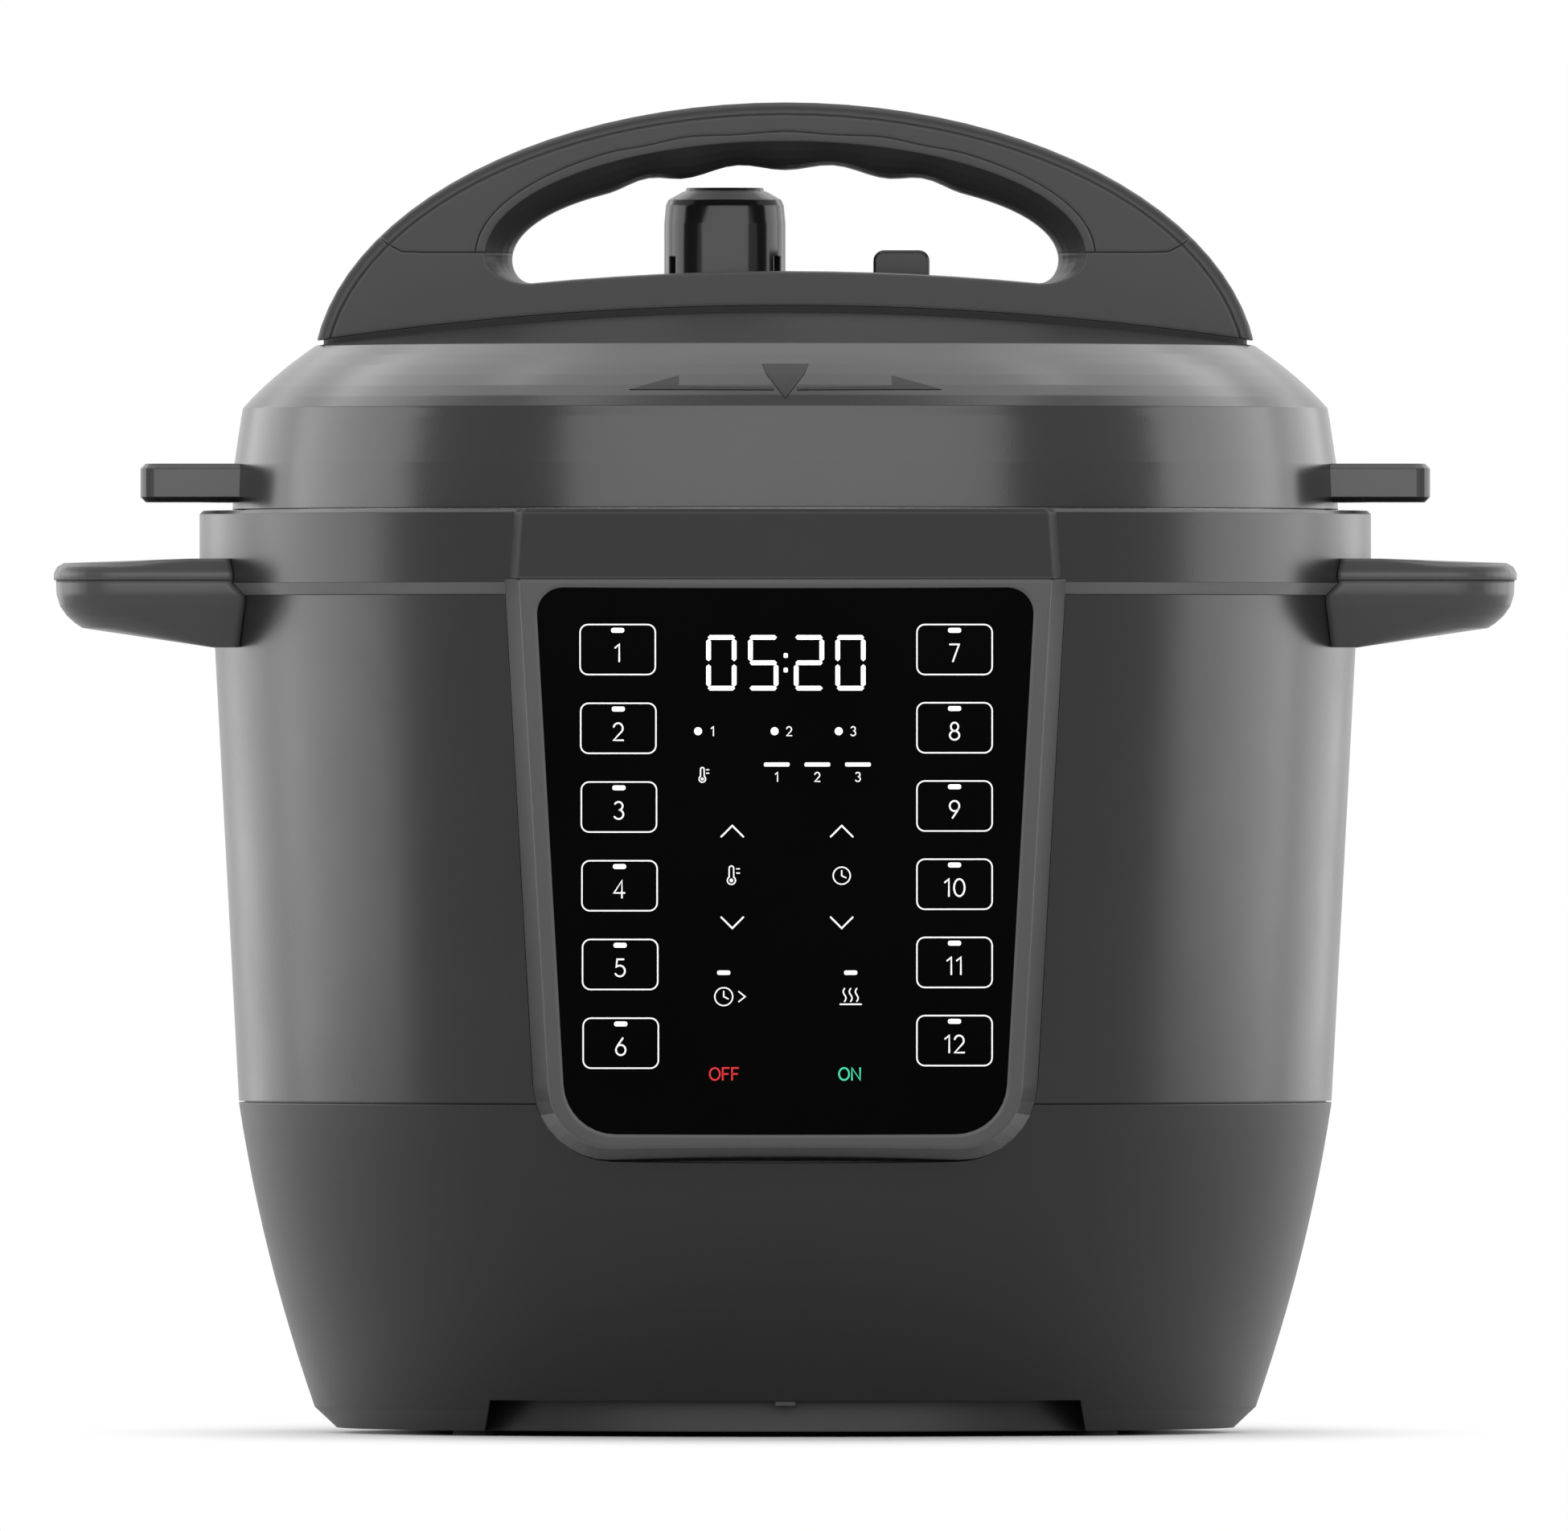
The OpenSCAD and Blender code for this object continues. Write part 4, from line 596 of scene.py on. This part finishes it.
outlines, lamps, numbers = [], [], []
for side, first, middle, inwards, upwards in KEY_COLUMNS:
    for row in range(6):
        cx = side * (middle - inwards * row)
        cz = top - KEY_TOP - row * KEY_PITCH + upwards * row
        outlines += ribbon(rounded_box(cx, cz, KEY_W, KEY_H, KEY_R), 0.35, True)
        lamps += fan(rounded_box(cx, cz + KEY_H / 2 - LAMP_DOWN, LAMP_W, LAMP_H, LAMP_R, 3))
        numbers += write(str(first + row), cx, cz - 0.8, 4.0, BOLD)
lay("panel_key_frames", outlines, panel, "base", WHITE)
lay("panel_key_numbers", numbers, panel, "base", WHITE)
lay("panel_key_lamps", lamps, panel, "base", LIT)

DIGIT_FOOT, DIGIT_W, DIGIT_H = 24.1, 7.1, 13.0
SEGMENT, SEGMENT_GAP = 1.12, 0.34
SEGMENTS = {0: "abcdef", 2: "abged", 5: "afgcd"}


def seven(digit, x, z):
    """Segments of one display digit: x is its left edge, z its foot."""
    half, gap, point = SEGMENT / 2, SEGMENT_GAP, SEGMENT * 0.45
    right, middle, crown = x + DIGIT_W, z + DIGIT_H / 2, z + DIGIT_H - half
    level = {"a": crown, "g": middle, "d": z + half}
    out = []
    for segment in SEGMENTS[digit]:
        if segment in level:
            at = level[segment]
            out += fan([(x + gap, at), (x + gap + point, at + half),
                        (right - gap - point, at + half), (right - gap, at),
                        (right - gap - point, at - half), (x + gap + point, at - half)])
        else:
            at = right - half if segment in "bc" else x + half
            low, high = (middle, crown) if segment in "bf" else (z + half, middle)
            out += fan([(at, low + gap), (at + half, low + gap + point),
                        (at + half, high - gap - point), (at, high - gap),
                        (at - half, high - gap - point), (at - half, low + gap + point)])
    return out


digits = []
for value, x in ((0, -18.5), (5, -8.7), (2, 2.0), (0, 11.7)):
    digits += seven(value, x, top - DIGIT_FOOT)
for up in (8.2, 4.8):
    digits += fan(rounded_box(0.1, top - DIGIT_FOOT + up, 1.0, 1.1, 0.25, 2))
lay("panel_digits", digits, panel, "base", LIT)

STAGES, LEVELS, LEVEL_LABELS = 33.6, 41.4, 44.3    # rows of dots and of bars under the display
ARROWS_UP, ADJUST, ARROWS_DOWN = 57.0, 67.4, 78.4  # rows of chevrons and the signs between them
EXTRA_LAMPS = 90.1
LABEL = 2.1                      # height of the small labels

signs, marks = [], []
for x, label in ((-20.4, "1"), (-2.5, "2"), (12.5, "3")):
    marks += fan(circle(x, top - STAGES, 0.95, 16))
    signs += write(label, x + 3.4, top - STAGES, LABEL, THIN)
for x, label in ((-2.0, "1"), (7.5, "2"), (17.0, "3")):
    marks += fan(rounded_box(x, top - LEVELS, 6.0, 0.95, 0.3, 2))
    signs += write(label, x, top - LEVEL_LABELS, LABEL, THIN)
for x in (-12.4, 13.2):
    for z, way in ((top - ARROWS_UP, 1), (top - ARROWS_DOWN, -1)):
        chevron = [(x - 2.6, z - way * 1.3), (x, z + way * 1.3), (x + 2.6, z - way * 1.3)]
        signs += ribbon(chevron, BOLD)


def thermometer(x, z, s):
    stem = arc(x, z - 1.1 * s, 0.95 * s, 0.95 * s, 125, 415, 14)
    stem += arc(x, z + 1.75 * s, 0.52 * s, 0.52 * s, 0, 180, 6)
    out = ribbon(stem, FINE, True) + fan(circle(x, z - 1.1 * s, 0.45 * s, 12))
    for up in (1.6, 0.6):
        out += ribbon([(x + 1.2 * s, z + up * s), (x + 1.9 * s, z + up * s)], THIN)
    return out


def clock(x, z, r):
    hands = [(x, z + r * 0.6), (x, z), (x + r * 0.5, z - r * 0.25)]
    return ribbon(circle(x, z, r, 24), FINE, True) + ribbon(hands, FINE)


def steam(x, z, s):
    out = []
    for dx in (-1.5, 0.0, 1.5):
        wave = [(x + dx * s + 0.35 * s * math.sin(t * math.pi / 4), z - 1.6 * s + 3.2 * s * t / 8)
                for t in range(9)]
        out += ribbon(wave, 0.34)
    return out + ribbon([(x - 2.6 * s, z - 2.3 * s), (x + 2.6 * s, z - 2.3 * s)], 0.36)


signs += thermometer(-19.4, top - 43.9, 0.8)
signs += thermometer(-12.6, top - ADJUST, 1.0)
signs += clock(13.2, top - ADJUST, 2.0)
for x in (-14.4, 15.3):
    marks += fan(rounded_box(x, top - EXTRA_LAMPS, 3.1, 1.05, 0.4, 2))
signs += clock(-14.4, top - 95.7, 2.1)
signs += ribbon([(-10.9, top - 96.9), (-9.4, top - 95.7), (-10.9, top - 94.5)], FINE)
signs += steam(15.3, top - 95.3, 0.95)
lay("panel_signs", signs, panel, "base", WHITE)
lay("panel_marks", marks, panel, "base", LIT)
off = write("OFF", -14.3, top - 113.8, 2.8, 0.4)
lay("panel_off", off, panel, "base", RED_INK)
on = write("ON", 15.1, top - 113.8, 2.8, 0.4)
lay("panel_on", on, panel, "base", GREEN_INK)


# ---------------------------------------------------------------- marks on the lid

SLOPE = 14.3                     # mm from the lid cover's top to the foot of its slope

lid = Ground("lid_cover")
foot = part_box("lid_cover")[1].z / MM - SLOPE
LID_MARK = moulded("lid_mark", 0.012, rough=0.4, spec=0.24, edge=0.0001)
pointer = fan([(-5.4, foot + 9.3), (5.4, foot + 9.3), (4.6, foot + 7.2), (0, foot + 1.2),
               (-4.6, foot + 7.2)])
lay("lid_pointer", pointer, lid, "lid", LID_MARK, lift=0.25, sink=0.3, limit=1.5)
arrows = []
for s in (-1, 1):
    shaft = ((s * 2.7, foot + 3.2), (s * 2.7, foot + 3.8), (s * 25.0, foot + 4.2),
             (s * 25.0, foot + 3.3))
    head = ((s * 25.0, foot + 3.3), (s * 25.0, foot + 6.6), (s * 36.6, foot + 3.3))
    arrows += [[Vector(p) for p in shaft], [Vector(p) for p in head]]
lay("lid_arrows", arrows, lid, "lid", LID_MARK, lift=0.22, sink=0.3, limit=1.5)


# ---------------------------------------------------------------- floor and world

FLOOR = 6.0                      # m from the middle to a side
# Grey of the floor near the object: darker than the white beyond it, a painted shadow pool.
FLOOR_SHADE_GREY = 0.72
SHADOW = (0.08, 0.175)           # m: the shadow, real and painted, shows up to the first and is gone at the second
SHADOW_SHAPE = (1.0, 0.5, 1.0)   # it reaches twice as far towards the front and the back
FILL = 0.35                      # strength of the world's light on the object

floor_mesh = bpy.data.meshes.new("floor")
floor_mesh.from_pydata([(-FLOOR, -FLOOR, 0), (FLOOR, -FLOOR, 0), (FLOOR, FLOOR, 0),
                        (-FLOOR, FLOOR, 0)], [], [(0, 1, 2, 3)])
floor = bpy.data.objects.new("floor", floor_mesh)
scene.collection.objects.link(floor)
floor_mesh.materials.append(bpy.data.materials.new("floor_paint"))

# Near the object the camera and glossy rays see a grey floor that holds the object's shadow and is
# itself darker than the white beyond, a painted shadow pool; further away they see plain white
paint = Nodes(floor_mesh.materials[0])
paint.tree.nodes.clear()
diffuse = paint.add("ShaderNodeBsdfDiffuse", Color=grey(FLOOR_SHADE_GREY)).outputs[0]
glow = paint.add("ShaderNodeEmission", Strength=1.0).outputs[0]
away = paint.length(paint.add("ShaderNodeTexCoord").outputs["Object"], SHADOW_SHAPE)
fade = paint.ramp(away, (SHADOW[0], 0.0), (SHADOW[1], 1.0), interpolation_type="SMOOTHSTEP")
seen = paint.between(fade, diffuse, glow)
shown = paint.between(paint.rays("Is Camera Ray", "Is Glossy Ray"), diffuse, seen)
paint.link(shown, paint.add("ShaderNodeOutputMaterial").inputs["Surface"])

world = bpy.data.worlds.new("world")
scene.world = world
sky = Nodes(world)
sky.tree.nodes.clear()
fill = sky.add("ShaderNodeBackground", Color=grey(1.0), Strength=FILL).outputs[0]
white = sky.add("ShaderNodeBackground", Color=grey(1.0), Strength=1.0).outputs[0]
kinds = sky.rays("Is Camera Ray", "Is Glossy Ray", "Is Transmission Ray")
sky.link(sky.between(kinds, fill, white), sky.add("ShaderNodeOutputWorld").inputs["Surface"])


# ---------------------------------------------------------------- lamps

def softbox(name, azimuth, elevation, reach, size, radiance):
    """A lamp aimed at the object's middle, of an even radiance over its face.

    Azimuth 0 is in front of the panel and 90 at its right, in degrees.
    """
    light = bpy.data.lights.new(name, "AREA")
    light.shape = "RECTANGLE"
    light.size, light.size_y = size
    light.energy = radiance * math.pi * size[0] * size[1]
    obj = bpy.data.objects.new(name, light)
    scene.collection.objects.link(obj)
    a, e = math.radians(azimuth), math.radians(elevation)
    back = Vector((math.sin(a) * math.cos(e), -math.cos(a) * math.cos(e), math.sin(e)))
    obj.location = Vector((0, 0, hi.z / 2)) + back * reach
    obj.rotation_mode = "QUATERNION"
    obj.rotation_quaternion = (-back).to_track_quat("-Z", "Y")
    obj.visible_camera = False


softbox("front", azimuth=0, elevation=13.5, reach=2.2, size=(4.5, 1.35), radiance=3.35)
for side in (-1, 1):
    softbox("strip", azimuth=side * 101, elevation=9, reach=1.1, size=(0.8, 0.66), radiance=3.1)
    softbox("edge", azimuth=side * 136, elevation=9, reach=1.1, size=(0.52, 0.66), radiance=1.3)
    softbox("crest", azimuth=side * 154, elevation=30, reach=2.1, size=(1.0, 0.84), radiance=0.6)
    softbox("rear", azimuth=side * 138, elevation=48, reach=2.2, size=(0.9, 1.15), radiance=1.9)
softbox("top", azimuth=180, elevation=80, reach=2.0, size=(2.0, 0.9), radiance=2.2)
